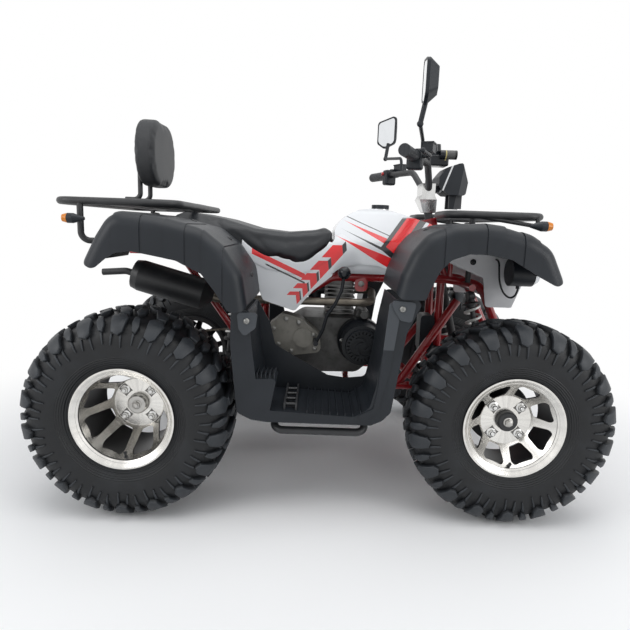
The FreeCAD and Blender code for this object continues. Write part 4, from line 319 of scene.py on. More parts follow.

# %% [markdown]
# ## Machined rims
# The front of each rim is turned on a lathe and left bright, while windows and barrel stay black. The surface
# normal tells the two apart: what faces outward along the axle is bright. Fine rings in the bump give the look of a
# turned face. A slow change of the colour with the angle paints reflections as bright and dark streaks, and round
# each stud a pocket is sunk in the bump and darkened as painted shade.

# %% Rims
def machined_rim():
    finish = Finish("machined_rim")
    radius, y, out, height = wheel_radius(finish)
    facing = finish.facing(1) * y.maths("SIGN")
    outside = abs(y).rise(0.30, 0.34)
    bright = facing.rise(0.16, 0.26) * outside
    rings = (radius * 5200.0).maths("SINE")
    wide = finish.node("ShaderNodeCombineXYZ", {}, {0: radius * 60.0, 1: 0.0, 2: 0.0})
    turning = finish.noise(6.0, 4.0, wide)
    angle = height.maths("ARCTAN2", out)
    waves = {0: (angle * 2.0).maths("SINE"), 1: (angle * 3.0).maths("COSINE")}
    around = finish.node("ShaderNodeCombineXYZ", {}, waves)
    # painted reflection: the alloy's colour swings between brighter and darker streaks with the angle round the axle
    sheen = finish.noise(1.6, 2.0, around)
    alloy = finish.blend(sheen.rise(0.3, 0.7), (0.80, 0.785, 0.75), (0.68, 0.665, 0.635))
    beside = radius * abs((angle * 2.0).maths("COSINE")) * 0.5
    # painted shade: the pocket round each stud is darkened as well as sunk in the bump
    shaded_pocket = (1 - beside.rise(0.0125, 0.0130)) * radius.band(0.040, 0.071)
    alloy = finish.blend(shaded_pocket, alloy, (0.16, 0.155, 0.15))
    finish.surface(
        Base_Color=finish.blend(bright, (0.012, 0.012, 0.013), alloy),
        Metallic=bright,
        Roughness=0.40 - bright * 0.17 + turning * bright * 0.05,
    )
    finish.bump((rings * 0.3 + turning * 0.4) * bright - shaded_pocket * 12.0, 0.00006, 0.4)
    return finish


rim_finish = machined_rim()
print("made:", rim_finish.material.name)

# %% [markdown]
# ## Seat vinyl
# The seat is covered in black vinyl with a leather-like grain: small rounded cells, each a little raised.

# %% Vinyl
def vinyl(name, tone, cell, woven=False):
    """Woven adds a diagonal weave on the faces that look sideways or up, as on the edge of the backrest."""
    finish = Finish(name)
    cloud = finish.noise(11.0, 4.0)
    pebble = finish.cells(cell, "SMOOTH_F1")
    base, worn = (tone * 0.85, tone, tone * 1.25), (tone * 1.7, tone * 2, tone * 2.4)
    finish.surface(
        Base_Color=finish.blend(cloud.rise(0.3, 0.8) * 0.5, base, worn),
        Roughness=0.40 + cloud * 0.14,
    )
    skin = pebble * -1.0 + finish.noise(cell * 2.0, 2.0) * 0.2
    if woven:
        edge = 1 - abs(finish.facing(0)).rise(0.55, 0.65)
        x, y, z = finish.parts(finish.place)
        threads = ((x + y + z) * 1100.0).maths("SINE") * ((x + y - z) * 1100.0).maths("SINE")
        skin = skin * (1 - edge) + threads * edge * 1.6
    finish.bump(skin, 0.0005, 0.6)
    return finish


seat_vinyl = vinyl("seat_vinyl", 0.012, 480.0)
backrest_vinyl = vinyl("backrest_vinyl", 0.011, 480.0, True)
print("made:", seat_vinyl.material.name, backrest_vinyl.material.name)

# %% [markdown]
# ## White bodywork with its graphics
# Tank cover and side panels are glossy white with red and black film graphics. The pattern is drawn in side view,
# from the object's own x and z. Chevrons march up the side panel along its lower edge, and long stripes run down
# the tank to a point. Turning x and z by an angle gives one sum that grows along a stripe and one across it.

# %% White bodywork
RED = (0.72, 0.010, 0.014)
INK = (0.010, 0.010, 0.013)
WHITE = (0.68, 0.695, 0.715)


class Film:
    """Colour that is laid on in side view, one shape at a time."""

    def __init__(self, finish, colour):
        self.finish = finish
        self.colour = colour
        self.x, y, self.z = finish.parts(finish.place)
        self.side = abs(y).rise(0.100, 0.106)

    def turned(self, degrees):
        """Distances along and across a direction that rises forward by so many degrees."""
        cosine, sine = math.cos(math.radians(degrees)), math.sin(math.radians(degrees))
        return self.x * cosine + self.z * sine, self.z * cosine - self.x * sine

    def lay(self, mask, tint):
        self.colour = self.finish.blend(mask * self.side, self.colour, tint)


def bodywork():
    finish = Finish("white_plastic")
    cloud = finish.noise(5.0, 3.0)
    film = Film(finish, finish.blend(cloud.rise(0.3, 0.8) * 0.5, WHITE, (0.62, 0.635, 0.66)))

    # chevrons on the side panel, growing forward
    along, across = film.turned(49.0)
    tip = along + abs(across - 0.462) * 0.9
    panel = across.band(0.440, 0.484) * (1 - film.x.rise(0.098, 0.100))
    for start, length in ((0.398, 0.016), (0.428, 0.022), (0.464, 0.030), (0.508, 0.040), (0.562, 0.052)):
        film.lay(tip.band(start, start + length) * panel, RED)
        film.lay(tip.band(start + length, start + length * 1.35) * across.band(0.440, 0.462) * panel, INK)

    # a pair of thin stripes along the rear of the side panel, below the seat
    along, across = film.turned(-24.0)
    rear = film.x.band(-0.230, -0.060)
    film.lay(across.band(0.574, 0.590) * rear, RED)
    film.lay(across.band(0.561, 0.566) * rear * film.x.rise(-0.19, -0.18), INK)

    # stripes on the tank that narrow rearward to a point
    along, across = film.turned(-25.0)
    reach = along.rise(-0.330, -0.080)
    tank = film.z.rise(0.690, 0.694)
    film.lay((across - reach * 0.006).band(0.806, 0.809) * tank, INK)
    for middle, width, tint in ((0.792, 0.012, RED), (0.764, 0.006, INK), (0.736, 0.017, RED)):
        stripe = (reach * width - abs(across - middle)).rise(0.0, 0.0006)
        film.lay(stripe * along.rise(-0.322, -0.320) * tank, tint)

    # a dark wedge with a red edge where the tank meets the front fender
    along, across = film.turned(52.0)
    front = film.x.rise(0.150, 0.152)
    film.lay(across.band(0.262, 0.330) * along.rise(0.705, 0.707) * front, INK)
    film.lay(across.band(0.282, 0.318) * along.rise(0.722, 0.724) * front, RED)
    film.lay(across.band(0.232, 0.252) * along.rise(0.700, 0.702) * front, RED)

    finish.surface(Base_Color=film.colour, Roughness=0.20 + cloud * 0.08, Coat_Weight=0.5, Coat_Roughness=0.06)
    finish.bump(finish.noise(40.0, 2.0), 0.0004, 0.10)
    return finish


def plain_white():
    """The nose cowl is the same plastic, left matt and a little grey."""
    finish = Finish("cowl_plastic")
    cloud = finish.noise(8.0, 4.0)
    finish.surface(
        Base_Color=finish.blend(cloud.rise(0.3, 0.8), (0.74, 0.74, 0.75), (0.62, 0.62, 0.635)),
        Roughness=0.42 + cloud * 0.12,
    )
    finish.bump(finish.noise(500.0, 2.0), 0.0002, 0.3)
    return finish


white_plastic = bodywork()
cowl_plastic = plain_white()
print("made:", white_plastic.material.name, len(white_plastic.tree.nodes), "nodes")

# %% [markdown]
# ## Lenses and glass
# Lamps have clear or coloured lenses with small ribs moulded inside, and the mirrors are silvered glass.

# %% Lenses
def lens(name, colour, rough):
    finish = Finish(name)
    x, y, z = finish.parts(finish.place)
    ribs = (y * 900.0).maths("SINE") * (z * 900.0).maths("SINE")
    cloud = finish.noise(30.0, 2.0)
    finish.surface(
        Base_Color=finish.blend(cloud.rise(0.3, 0.8) * 0.4, colour, tuple(c * 0.6 for c in colour)),
        Roughness=rough + cloud * 0.05,
        Coat_Weight=0.8,
        Coat_Roughness=0.04,
    )
    finish.bump(ribs, 0.0006, 0.5)
    return finish


lamp_lens = lens("lamp_lens", (0.62, 0.63, 0.64), 0.12)
red_lens = lens("red_lens", (0.42, 0.006, 0.010), 0.15)
mirror_glass = metal("mirror_glass", (0.80, 0.82, 0.84), (0.74, 0.76, 0.78), 0.02, 1.0, 60.0, 0.00001)
button_red = paint("button_red", (0.55, 0.01, 0.01), (0.40, 0.01, 0.01), 0.30, 0.3)
print("made the lenses")

# %% [markdown]
# ## Two finishes on one solid
# A lamp is a dark barrel with a lens in front, a cap is chrome below and black above. The solid's own place or the
# direction of its surface says which is which, so one material with a mask does both.


# %% Plastic with trim
LAMP_Y, LAMP_Z = 0.262, 0.705


def clear_front(finish, colour, roughness):
    """A clear lens on what faces forward, with bright rings behind it."""
    x, y, z = finish.parts(finish.place)
    out = abs(y) - LAMP_Y
    up = z - LAMP_Z
    radius = (out * out + up * up).maths("SQRT")
    front = finish.facing(0).rise(0.15, 0.30)
    glass = finish.blend((radius * 1400.0).maths("SINE").rise(-0.3, 0.9), (0.50, 0.52, 0.55), (0.78, 0.79, 0.80))
    return finish.blend(front, colour, glass), roughness - front * 0.28, front * 0.25


def amber_tips(finish, colour, roughness):
    x = finish.parts(finish.place)[0]
    low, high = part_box("turn_signals")
    tips = x.rise(high.x - 0.0145, high.x - 0.0140) + (1 - x.rise(low.x + 0.0140, low.x + 0.0145))
    return finish.blend(tips, colour, (0.62, 0.20, 0.015)), roughness - tips * 0.2, 0.0


def pod_trim(finish, colour, roughness):
    """A grey bezel at the front edge and a bright strap that leans back over the housing."""
    x, y, z = finish.parts(finish.place)
    bezel = (x - z * 0.14).rise(0.3105, 0.3115)
    strap = (x - z * 0.35).band(0.052, 0.0575)
    colour = finish.blend(bezel, colour, (0.060, 0.062, 0.066))
    return finish.blend(strap, colour, (0.60, 0.61, 0.62)), roughness, strap * 0.9


def horn_trim(finish, colour, roughness):
    """The gauge's glossy cup, and beside it a grey horn with a pale rim and a black mouth."""
    x, y, z = finish.parts(finish.place)
    horn = x.rise(0.3925, 0.3935) * z.rise(1.055, 1.056)
    rim = x.band(0.394, 0.398) * horn
    mouth = x.rise(0.425, 0.426)
    colour = finish.blend(horn, colour, (0.080, 0.080, 0.078))
    colour = finish.blend(rim, colour, (0.42, 0.36, 0.14))
    return finish.blend(mouth, colour, (0.010, 0.010, 0.010)), roughness - (1 - horn) * 0.22, 0.0


def chrome_tiers(finish, colour, roughness):
    z = finish.parts(finish.place)[2]
    bright = z.band(0.8855, 0.8885) + (1 - z.rise(0.8815, 0.8825))
    return finish.blend(bright, colour, (0.66, 0.66, 0.66)), roughness - bright * 0.25, bright


def knob_top(finish, colour, roughness):
    """The hand lever's rod is satin, its ball glossy."""
    ball = finish.parts(finish.place)[2].rise(0.660, 0.662)
    return colour, roughness - ball * 0.30, 0.0


def corner_plates(finish, colour, roughness):
    """The scooped plates at the outer corners are a paler grey than the footwell itself."""
    x, y, z = finish.parts(finish.place)
    plate = abs(y).rise(0.4800, 0.4806) * z.rise(0.500, 0.502)
    return finish.blend(plate, colour, (0.050, 0.056, 0.064)), roughness + plate * 0.06, 0.0


lamp_finish = black_plastic("lamp_plastic", trim=clear_front)
footwell_finish = black_plastic("footwell_plastic", trim=corner_plates)
signal_finish = black_plastic("signal_plastic", 0.014, trim=amber_tips)
pod_finish = black_plastic("pod_plastic", 0.012, trim=pod_trim)
gauge_finish = black_plastic("gauge_plastic", 0.010, 300.0, trim=horn_trim)
cap_finish = black_plastic("cap_plastic", 0.014, 300.0, trim=chrome_tiers)
lever_finish = black_plastic("lever_plastic", 0.010, 300.0, trim=knob_top)
print("made the trimmed plastics")

# %% [markdown]
# ## Finishes for the solids
# A solid whose shape is right only needs its finish. Each row names a finish and the solids that wear it.

# %% Dress the solids
WARDROBE = [
    (rim_finish, ["front_rim_left", "front_rim_right", "rear_rim_left", "rear_rim_right"]),
    (tyre_rubber, ["front_tyre_left", "front_tyre_right", "rear_tyre_left", "rear_tyre_right"]),
    (dark_steel, ["front_hub_left", "front_hub_right", "steering_stem", "handlebar", "knuckle_left",
                  "knuckle_right", "front_arms", "swingarm", "muffler", "foot_rails", "rear_rack", "front_rack"]),
    (plain_steel, ["rear_axle", "tie_rod_left", "tie_rod_right", "small_sprocket"]),
    (bright_steel, ["bar_clamp"]),
    (spring_steel, ["front_shocks", "rear_shock"]),
    (chain_steel, ["chain", "exhaust_pipe"]),
    (grip_rubber, ["grips"]),
    (plastic, ["controls", "mirrors", "intake", "rear_deck", "rear_fender_left", "rear_fender_right",
               "front_fender_left", "front_fender_right"]),
    (footwell_finish, ["footwell_left", "footwell_right"]),
    (gauge_finish, ["gauge"]),
    (pod_finish, ["headlight_pod"]),
    (cap_finish, ["fuel_cap"]),
    (lever_finish, ["gear_lever"]),
    (cable_rubber, ["lamp_cable"]),
    (red_frame, ["main_frame", "nose_frame", "rear_frame"]),
    (engine_metal, ["engine_case"]),
    (cover_metal, ["transmission_cover"]),
    (fin_metal, ["engine_cylinder"]),
    (gloss_black, ["fan_cover"]),
    (seat_vinyl, ["seat", "backrest_pad"]),
    (white_plastic, ["tank_cover", "side_panels"]),
    (cowl_plastic, ["nose_cowl"]),
    (lamp_finish, ["headlamps"]),
    (red_lens, ["tail_lamp"]),
    (signal_finish, ["turn_signals"]),
]
for finish, names in WARDROBE:
    for name in names:
        NODES[name].data.materials.clear()
        NODES[name].data.materials.append(finish.material)
bare = set(NODES) - {name for _, names in WARDROBE for name in names}
print("solids without a finish:", sorted(bare))

# %% [markdown]
# ## Small helpers for modelling
# Every new piece is a primitive that is shaped in edit mode. These few functions select, finish and place it.


# %% Modelling helpers
def start_piece(name, add, **settings):
    """Adds a primitive with nothing else selected and gives it a name."""
    bpy.ops.object.select_all(action="DESELECT")
    add(**settings)
    piece = bpy.context.object
    piece.name = name
    return piece


def select_only(*pieces):
    bpy.ops.object.select_all(action="DESELECT")
    for piece in pieces:
        piece.select_set(True)
    bpy.context.view_layer.objects.active = pieces[0]


def in_edit(piece, *steps):
    """Runs edit-mode steps on one piece, each on what the last left selected."""
    select_only(piece)
    bpy.ops.object.mode_set(mode="EDIT")
    for step, settings in steps:
        step(**settings)
    bpy.ops.object.mode_set(mode="OBJECT")
    return piece


ALL = (bpy.ops.mesh.select_all, {"action": "SELECT"})
FACE_OUT = (bpy.ops.mesh.normals_make_consistent, {"inside": False})


def weld(distance):
    return bpy.ops.mesh.remove_doubles, {"threshold": distance}


def extrude(*move):
    return bpy.ops.mesh.extrude_region_move, {"TRANSFORM_OT_translate": {"value": move}}


def from_outline(name, places, **settings):
    """A closed loop of points. It starts as a circle with as many vertices, which then take their places."""
    ring = start_piece(name, bpy.ops.mesh.primitive_circle_add, vertices=len(places), radius=1.0, **settings)
    for vertex, place in zip(ring.data.vertices, places):
        vertex.co = place
    return ring


def spun(name, profile, steps=32, distance=0.00003):
    """A closed outline of (along, radius) points, spun about the Y axis."""
    spin = (bpy.ops.mesh.spin, {"steps": steps, "angle": math.tau, "center": (0, 0, 0), "axis": (0, 1, 0)})
    ring = from_outline(name, [(0.0, along, radius) for along, radius in profile])
    return in_edit(ring, ALL, spin, ALL, weld(distance), FACE_OUT)


def apply_modifier(piece, kind, **settings):
    bpy.context.view_layer.objects.active = piece
    modifier = piece.modifiers.new(kind.lower(), kind)
    for name, value in settings.items():
        setattr(modifier, name, value)
    bpy.ops.object.modifier_apply(modifier=modifier.name)
    return piece


def joined(pieces, name):
    """Joins pieces into one mesh, whose object is at the origin."""
    select_only(*pieces)
    bpy.ops.object.transform_apply(location=True, rotation=True, scale=True)
    if len(pieces) > 1:
        bpy.ops.object.join()
    whole = bpy.context.object
    whole.name = name
    return whole


def copy_of(piece, matrix, name="copy"):
    """A copy with its own mesh, moved by a matrix. A mirror image is turned the right way out."""
    twin = piece.copy()
    twin.data = piece.data.copy()
    twin.name = name
    bpy.context.scene.collection.objects.link(twin)
    twin.data.transform(matrix)
    if matrix.determinant() < 0:
        twin.data.flip_normals()
    return twin


def finish_piece(piece, body, finish, angle=40.0):
    """Smooth shading up to an angle, a finish and a body to ride on."""
    select_only(piece)
    bpy.ops.object.transform_apply(location=True, rotation=True, scale=True)
    bpy.ops.object.shade_smooth_by_angle(angle=math.radians(angle))
    piece.data.materials.clear()
    piece.data.materials.append(finish.material)
    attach(piece, body)
    return piece


def drop(*pieces):
    for piece in pieces:
        bpy.data.objects.remove(piece)


def turn_y(angle):
    return Matrix.Rotation(angle, 4, "Y")


STAY = Matrix.Identity(4)
MIRROR = Matrix.Scale(-1, 4, (0, 1, 0))
HANDS = (("left", STAY), ("right", MIRROR))
print("helpers ready")

# %% [markdown]
# ## Tyres
# A knobbly tyre is a round casing with rows of rubber blocks. The casing is its cross-section, a closed loop, spun
# about the axle. The blocks are modelled flat, as if the tread were unrolled on a bench, and then wrapped: the
# length along the bench becomes an angle, the width follows the cross-section over the shoulder, and the height
# stands square to it.

# %% The casing's cross-section
def smooth_line(points, steps):
    """A smooth line through points, by a Catmull-Rom curve."""
    pts = [np.array(p, float) for p in points]
    pts = [2 * pts[0] - pts[1]] + pts + [2 * pts[-1] - pts[-2]]
    line = []
    for a, b, c, d in zip(pts, pts[1:], pts[2:], pts[3:]):
        for i in range(steps):
            t = i / steps
            line.append(0.5 * (2 * b + (c - a) * t + (2 * a - 5 * b + 4 * c - d) * t * t
                               + (3 * b - 3 * c + d - a) * t ** 3))
    line.append(pts[-2])
    return np.array(line)


class Casing:
    """The cross-section of one tyre: half its width, and points (y, radius) from the crown to the bead."""

    def __init__(self, half, bead_half):
        self.half = half
        shape = [(0.0, 0.2775), (0.30, 0.2765), (0.58, 0.2725), (0.80, 0.262), (0.93, 0.243), (0.985, 0.222),
                 (0.985, 0.198), (0.955, 0.176), (0.90, 0.158), (0.86, 0.150)]
        points = [(share * half, radius) for share, radius in shape]
        points += [(bead_half, 0.1345), (bead_half - 0.004, 0.1285)]
        self.line = smooth_line(points, 5)
        steps = np.linalg.norm(np.diff(self.line, axis=0), axis=1)
        self.reach = np.concatenate([[0.0], np.cumsum(steps)])

    def point(self, away):
        return [np.interp(away, self.reach, self.line[:, i]) for i in (0, 1)]

    def at(self, distance, step=0.004):
        """The point and the outward direction at a distance from the crown along the section."""
        away = abs(distance)
        y, r = self.point(away)
        (y_before, r_before), (y_after, r_after) = self.point(max(away - step, 0.0)), self.point(away + step)
        dy, dr = y_after - y_before, r_after - r_before
        size = math.hypot(dy, dr)
        sign = 1.0 if distance >= 0 else -1.0
        return sign * y, r, sign * -dr / size, dy / size


front_casing = Casing(0.089, 0.070)
rear_casing = Casing(0.125, 0.104)
print("section lengths:", round(front_casing.reach[-1], 3), round(rear_casing.reach[-1], 3))

# %% [markdown]
# ## The casing as a mesh
# The half section is mirrored into a closed loop and spun. A mesh of this kind has no seam, because the first and
# the last ring are welded.

# %% Casing mesh
CASING_STEPS = 120


def casing_mesh(casing, name):
    side = casing.line
    loop = [(-y, r) for y, r in side[::-1]][:-1] + [(y, r) for y, r in side]
    return spun(name, loop, CASING_STEPS, 0.00005)


# %% [markdown]
# ## Tread blocks
# Each block is a flat outline, extruded, with its top edges bevelled, and cut across at even steps so that it can
# bend. Shoulder blocks alternate between a broad house shape and a slim slanted one, and slanted bars meet in a V
# near the crown. Thin ribs run from the shoulder blocks down the side.

# %% Tread blocks
BLOCK_SINK = 0.006
CUT_STEP = 0.010
PITCHES = 18


def block(outline, height, taper=0.0022):
    """A flat outline (along, out) made into a bevelled block that is ready to wrap."""
    piece = from_outline("block", [(along, out, -BLOCK_SINK) for along, out in outline], fill_type="NGON")
    bevel = (bpy.ops.mesh.bevel, {"offset": taper, "segments": 2})
    in_edit(piece, ALL, extrude(0, 0, BLOCK_SINK + height), bevel, ALL, FACE_OUT)
    lowest = min(out for _, out in outline)
    highest = max(out for _, out in outline)
    for i in range(1, int((highest - lowest) / CUT_STEP) + 1):
        in_edit(piece, ALL, (bpy.ops.mesh.bisect, {"plane_co": (0, lowest + i * CUT_STEP, 0), "plane_no": (0, 1, 0)}))
    return piece


def tread_outlines(edge):
    """The blocks of one side over one pitch: outline points (along, out from the crown) and height."""
    broad = [(-0.021, edge - 0.036), (-0.009, edge - 0.050), (0.010, edge - 0.047), (0.023, edge - 0.030),
             (0.018, edge + 0.006), (0.004, edge + 0.015), (-0.015, edge + 0.008)]
    slim = [(0.038, edge - 0.042), (0.051, edge - 0.038), (0.060, edge - 0.012), (0.056, edge + 0.006),
            (0.044, edge + 0.002), (0.037, edge - 0.020)]
    inner = edge - 0.060
    bar = [(-0.030, 0.004), (-0.008, 0.001), (0.014, inner * 0.6), (0.014, inner), (-0.008, inner + 0.004),
           (-0.020, inner * 0.55)]
    wedge = [(0.026, 0.012), (0.046, 0.006), (0.052, inner * 0.7), (0.040, inner + 0.006), (0.028, inner * 0.8)]
    ribs = [
        [(-0.020, edge + 0.009), (-0.012, edge + 0.011), (-0.020, edge + 0.040), (-0.025, edge + 0.039)],
        [(0.007, edge + 0.014), (0.015, edge + 0.010), (0.014, edge + 0.046), (0.010, edge + 0.046)],
        [(0.044, edge + 0.002), (0.053, edge + 0.004), (0.051, edge + 0.036), (0.047, edge + 0.036)],
    ]
    return [(broad, 0.0145), (slim, 0.0130), (bar, 0.0145), (wedge, 0.0140)] + [(rib, 0.0045) for rib in ribs]


def mark_height(piece, full):
    """Stores how high each point stands on its block, from 0 to 1, or 0 all over where full is None."""
    heights = [max(0.0, min(1.0, v.co.z / full)) if full else 0.0 for v in piece.data.vertices]
    piece.data.attributes.new("lug", "FLOAT", "POINT").data.foreach_set("value", heights)
    return piece


def wrapped(piece, casing, side, shift):
    """Wraps a flat block on the casing, on one side, shifted along the tread."""
    crown = casing.line[0][1]
    for vertex in piece.data.vertices:
        along, out, height = vertex.co
        y, r, ny, nr = casing.at(out * side)
        angle = (along * side + shift) / crown
        radius = r + nr * height
        vertex.co = (radius * math.sin(angle), y + ny * height, radius * math.cos(angle))
    if side < 0:
        piece.data.flip_normals()
    return piece


def tyre(casing, name):
    """Casing and blocks as one mesh. The blocks end near the shoulder, where the section is almost full width."""
    crown = casing.line[0][1]
    pitch = math.tau * crown / PITCHES
    edge = float(np.interp(0.965 * casing.half, casing.line[:20, 0], casing.reach[:20]))
    flat = [mark_height(block(outline, height), height) for outline, height in tread_outlines(edge)]
    one = []
    for side, shift in ((1, 0.0), (-1, pitch / 2)):
        one += [wrapped(copy_of(piece, STAY), casing, side, shift) for piece in flat]
    drop(*flat)
    pitch_mesh = joined(one, "pitch")
    turns = [copy_of(pitch_mesh, turn_y(math.tau * i / PITCHES)) for i in range(1, PITCHES)]
    return joined([mark_height(casing_mesh(casing, name), None), pitch_mesh] + turns, name)


front_tyre = tyre(front_casing, "front_tread")
rear_tyre = tyre(rear_casing, "rear_tread")
print("tyre faces:", len(front_tyre.data.polygons), len(rear_tyre.data.polygons))

# %% [markdown]
# ## Tyres on their wheels
# A real tyre is one moulding, and so each of the four is one piece here. It takes the place of the plain solid and
# rides on that wheel.

# %% Tyres on their wheels
def centre_of(node):
    low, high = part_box(node)
    return (low + high) / 2


def wheel_body(end, hand):
    """The rear wheels turn as one body with their axle."""
    return f"front_wheel_{hand}" if end == "front" else "rear_wheels"


for model, end in ((front_tyre, "front"), (rear_tyre, "rear")):
    for hand, flip in HANDS:
        node = f"{end}_tyre_{hand}"
        piece = copy_of(model, Matrix.Translation(centre_of(node)) @ flip, f"{end}_tread_{hand}")
        finish_piece(piece, wheel_body(end, hand), tyre_rubber, 50.0)
        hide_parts(node)
    drop(model)
print("tyres are on their wheels")

# %% [markdown]
# ## Padding
# Seat and backrest are foam in a cover. A copy of the solid is merged, remeshed into an even skin and blown up a
# little by a short cloth simulation, so that its faces crown between the edges. The cap keeps it near its true size.


# %% Padding
CLOTH_STEPS = 20


def padded_copy(node, name, voxel, inset, cap, pressure):
    """A soft copy of a solid."""
    low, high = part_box(node)
    middle = centre_of(node)
    piece = copy_of(NODES[node], STAY, name)
    piece.parent = None
    piece.hide_render = piece.hide_viewport = False
    piece.matrix_world = STAY
    in_edit(piece, ALL, weld(0.00002))
    size = high - low
    shrink = [1 - 2 * inset / side for side in size]
    scale = Matrix.Diagonal((*shrink, 1.0))
    piece.data.transform(Matrix.Translation(middle) @ scale @ Matrix.Translation(-middle))
    apply_modifier(piece, "REMESH", mode="VOXEL", voxel_size=voxel)
    apply_modifier(piece, "SMOOTH", factor=0.5, iterations=12)
    start = np.array([v.co for v in piece.data.vertices])
    cloth = piece.modifiers.new("cloth", "CLOTH")
    cloth.settings.use_pressure = True
    cloth.settings.uniform_pressure_force = pressure
    cloth.settings.effector_weights.gravity = 0.0
    for step in range(1, CLOTH_STEPS + 1):
        bpy.context.scene.frame_set(step)
    bpy.ops.object.modifier_apply(modifier=cloth.name)
    bpy.context.scene.frame_set(1)
    end = np.array([v.co for v in piece.data.vertices])
    move = end - start
    length = np.linalg.norm(move, axis=1, keepdims=True)
    end = start + move * np.minimum(1.0, cap / np.maximum(length, 1e-9))
    for vertex, place in zip(piece.data.vertices, end):
        vertex.co = place
    apply_modifier(piece, "SMOOTH", factor=0.5, iterations=4)
    apply_modifier(piece, "SUBSURF", levels=1, render_levels=1)
    return piece


seat = padded_copy("seat", "seat_cushion", voxel=0.005, inset=0.003, cap=0.006, pressure=3.0)
finish_piece(seat, "chassis", seat_vinyl, 180.0)
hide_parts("seat")
pad = padded_copy("backrest_pad", "backrest_cushion", voxel=0.004, inset=0.003, cap=0.006, pressure=4.0)
finish_piece(pad, "chassis", backrest_vinyl, 180.0)
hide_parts("backrest_pad")
print("padding:", len(seat.data.polygons), len(pad.data.polygons), "faces")

# %% [markdown]
# ## Seats for small parts
# A screw sits where a straight line meets the surface. Blender can follow such a line and tell where it first meets
# a solid and which way the surface faces there, so no screw floats or sinks.


# %% Seats for small parts
def seat_of(node, start, way):
    """A matrix at the place where a line first meets a solid, with its Y axis square to the surface."""
    hit, place, normal, _ = NODES[node].ray_cast(Vector(start), Vector(way))
    if not hit:
        raise ValueError("the line misses " + node)
    return Matrix.Translation(place) @ normal.to_track_quat("Y", "Z").to_matrix().to_4x4()


def nut(name, radius, low, high):
    """A hexagon nut on the Y axis, bevelled, from low to high."""
    piece = start_piece(name, bpy.ops.mesh.primitive_cylinder_add, vertices=6, radius=radius, depth=high - low)
    upright = Matrix.Rotation(math.pi / 2, 4, "X")
    piece.data.transform(Matrix.Translation((0, (low + high) / 2, 0)) @ upright)
    return apply_modifier(piece, "BEVEL", width=radius * 0.12, segments=2, limit_method="ANGLE")


print("seats ready")

# %% [markdown]
# ## Panel wings
# The side panel's upper edge hugs the seat, and in front the same skin runs on over the tank's flank as a wing that
# narrows to a point. One strip does both: a grid whose columns stand at even steps along the vehicle. Behind the
# wing's root each column reaches from the panel's upper edge to the seat's lower edge, both found by following a line
# to the solid; in front of it, the column's ends follow two listed lines.

# %% Panel wings
WING_ROOT = 0.020
PANEL_OUT = 0.1975
WING_LOW = [(WING_ROOT, 0.672), (0.055, 0.697), (0.110, 0.707), (0.170, 0.703), (0.236, 0.681)]
WING_TOP = [(WING_ROOT, 0.770), (0.045, 0.806), (0.060, 0.802), (0.236, 0.684)]


def height_on(line, x):
    return float(np.interp(x, [p[0] for p in line], [p[1] for p in line]))


def wing_column(x):
    """The lowest and highest point of the strip at one station."""
    if x > WING_ROOT:
        return height_on(WING_LOW, x), height_on(WING_TOP, x)
    panel = NODES["side_panels"].ray_cast(Vector((x, -0.190, 1.0)), Vector((0, 0, -1)))[1].z
    under = seat.ray_cast(Vector((x, -0.165, 0.3)), Vector((0, 0, 1)))[1].z
    return panel - 0.020, max(under + 0.002, panel + 0.002)


def wing_skin(x, z):
    """How far out the strip stands: flush with the panel behind, and close to the tank's flank in front."""
    ahead = min(max((x - WING_ROOT) / 0.10, 0.0), 1.0)
    out = PANEL_OUT - 0.0185 * ahead * ahead * (3 - 2 * ahead)
    return out - max(z - 0.771, 0.0) * 0.83 - max(z - 0.735, 0.0) * 0.25 * (1 - ahead)


COLUMNS, ROWS = 56, 6
WING_BACK, WING_LENGTH = -0.262, 0.498
grid = start_piece("wing", bpy.ops.mesh.primitive_grid_add, x_subdivisions=COLUMNS, y_subdivisions=ROWS, size=1.0)
for vertex in grid.data.vertices:
    x = WING_BACK + (vertex.co.x + 0.5) * WING_LENGTH
    low, high = wing_column(x)
    z = low + (high - low) * (vertex.co.y + 0.5)
    vertex.co = (x, -wing_skin(x, z), z)
in_edit(grid, ALL, FACE_OUT)
if grid.data.polygons[0].normal.y > 0:
    grid.data.flip_normals()
apply_modifier(grid, "SOLIDIFY", thickness=0.0035, offset=-1.0)
apply_modifier(grid, "BEVEL", width=0.0010, segments=2, limit_method="ANGLE", angle_limit=math.radians(50))
wings = joined([grid, copy_of(grid, MIRROR)], "panel_wings")
finish_piece(wings, "chassis", white_plastic, 50.0)
print("wing faces:", len(wings.data.polygons))

# %% [markdown]
# ## Nuts and valves
# Four nuts hold each rim on its studs, with a flange under the hexagon. In the middle of the cap sits the axle nut,
# and a short rubber valve stands low on the rim. A set is modelled once on the Y axis and copied to the four wheels.


# %% Wheel fittings
LUG_CIRCLE = 0.055
VALVE_CIRCLE = 0.118


def lug_set(rim_depth):
    """The four nuts of one wheel. The cap's face is at y = 0, and the rim's face lies deeper."""
    lug = joined([
        nut("lug", 0.0105, 0.003, 0.013),
        spun("flange", [(-0.001, 0.0), (-0.001, 0.0135), (0.002, 0.0135), (0.004, 0.010), (0.004, 0.0)]),
        spun("tip", [(0.012, 0.0), (0.012, 0.006), (0.0155, 0.006), (0.0165, 0.005), (0.0165, 0.0)], 20),
    ], "lug")
    lug.data.transform(Matrix.Translation((0, rim_depth, LUG_CIRCLE)))
    lugs = [copy_of(lug, turn_y(math.radians(45 + 90 * i))) for i in range(4)]
    drop(lug)
    return joined(lugs, "lugs")


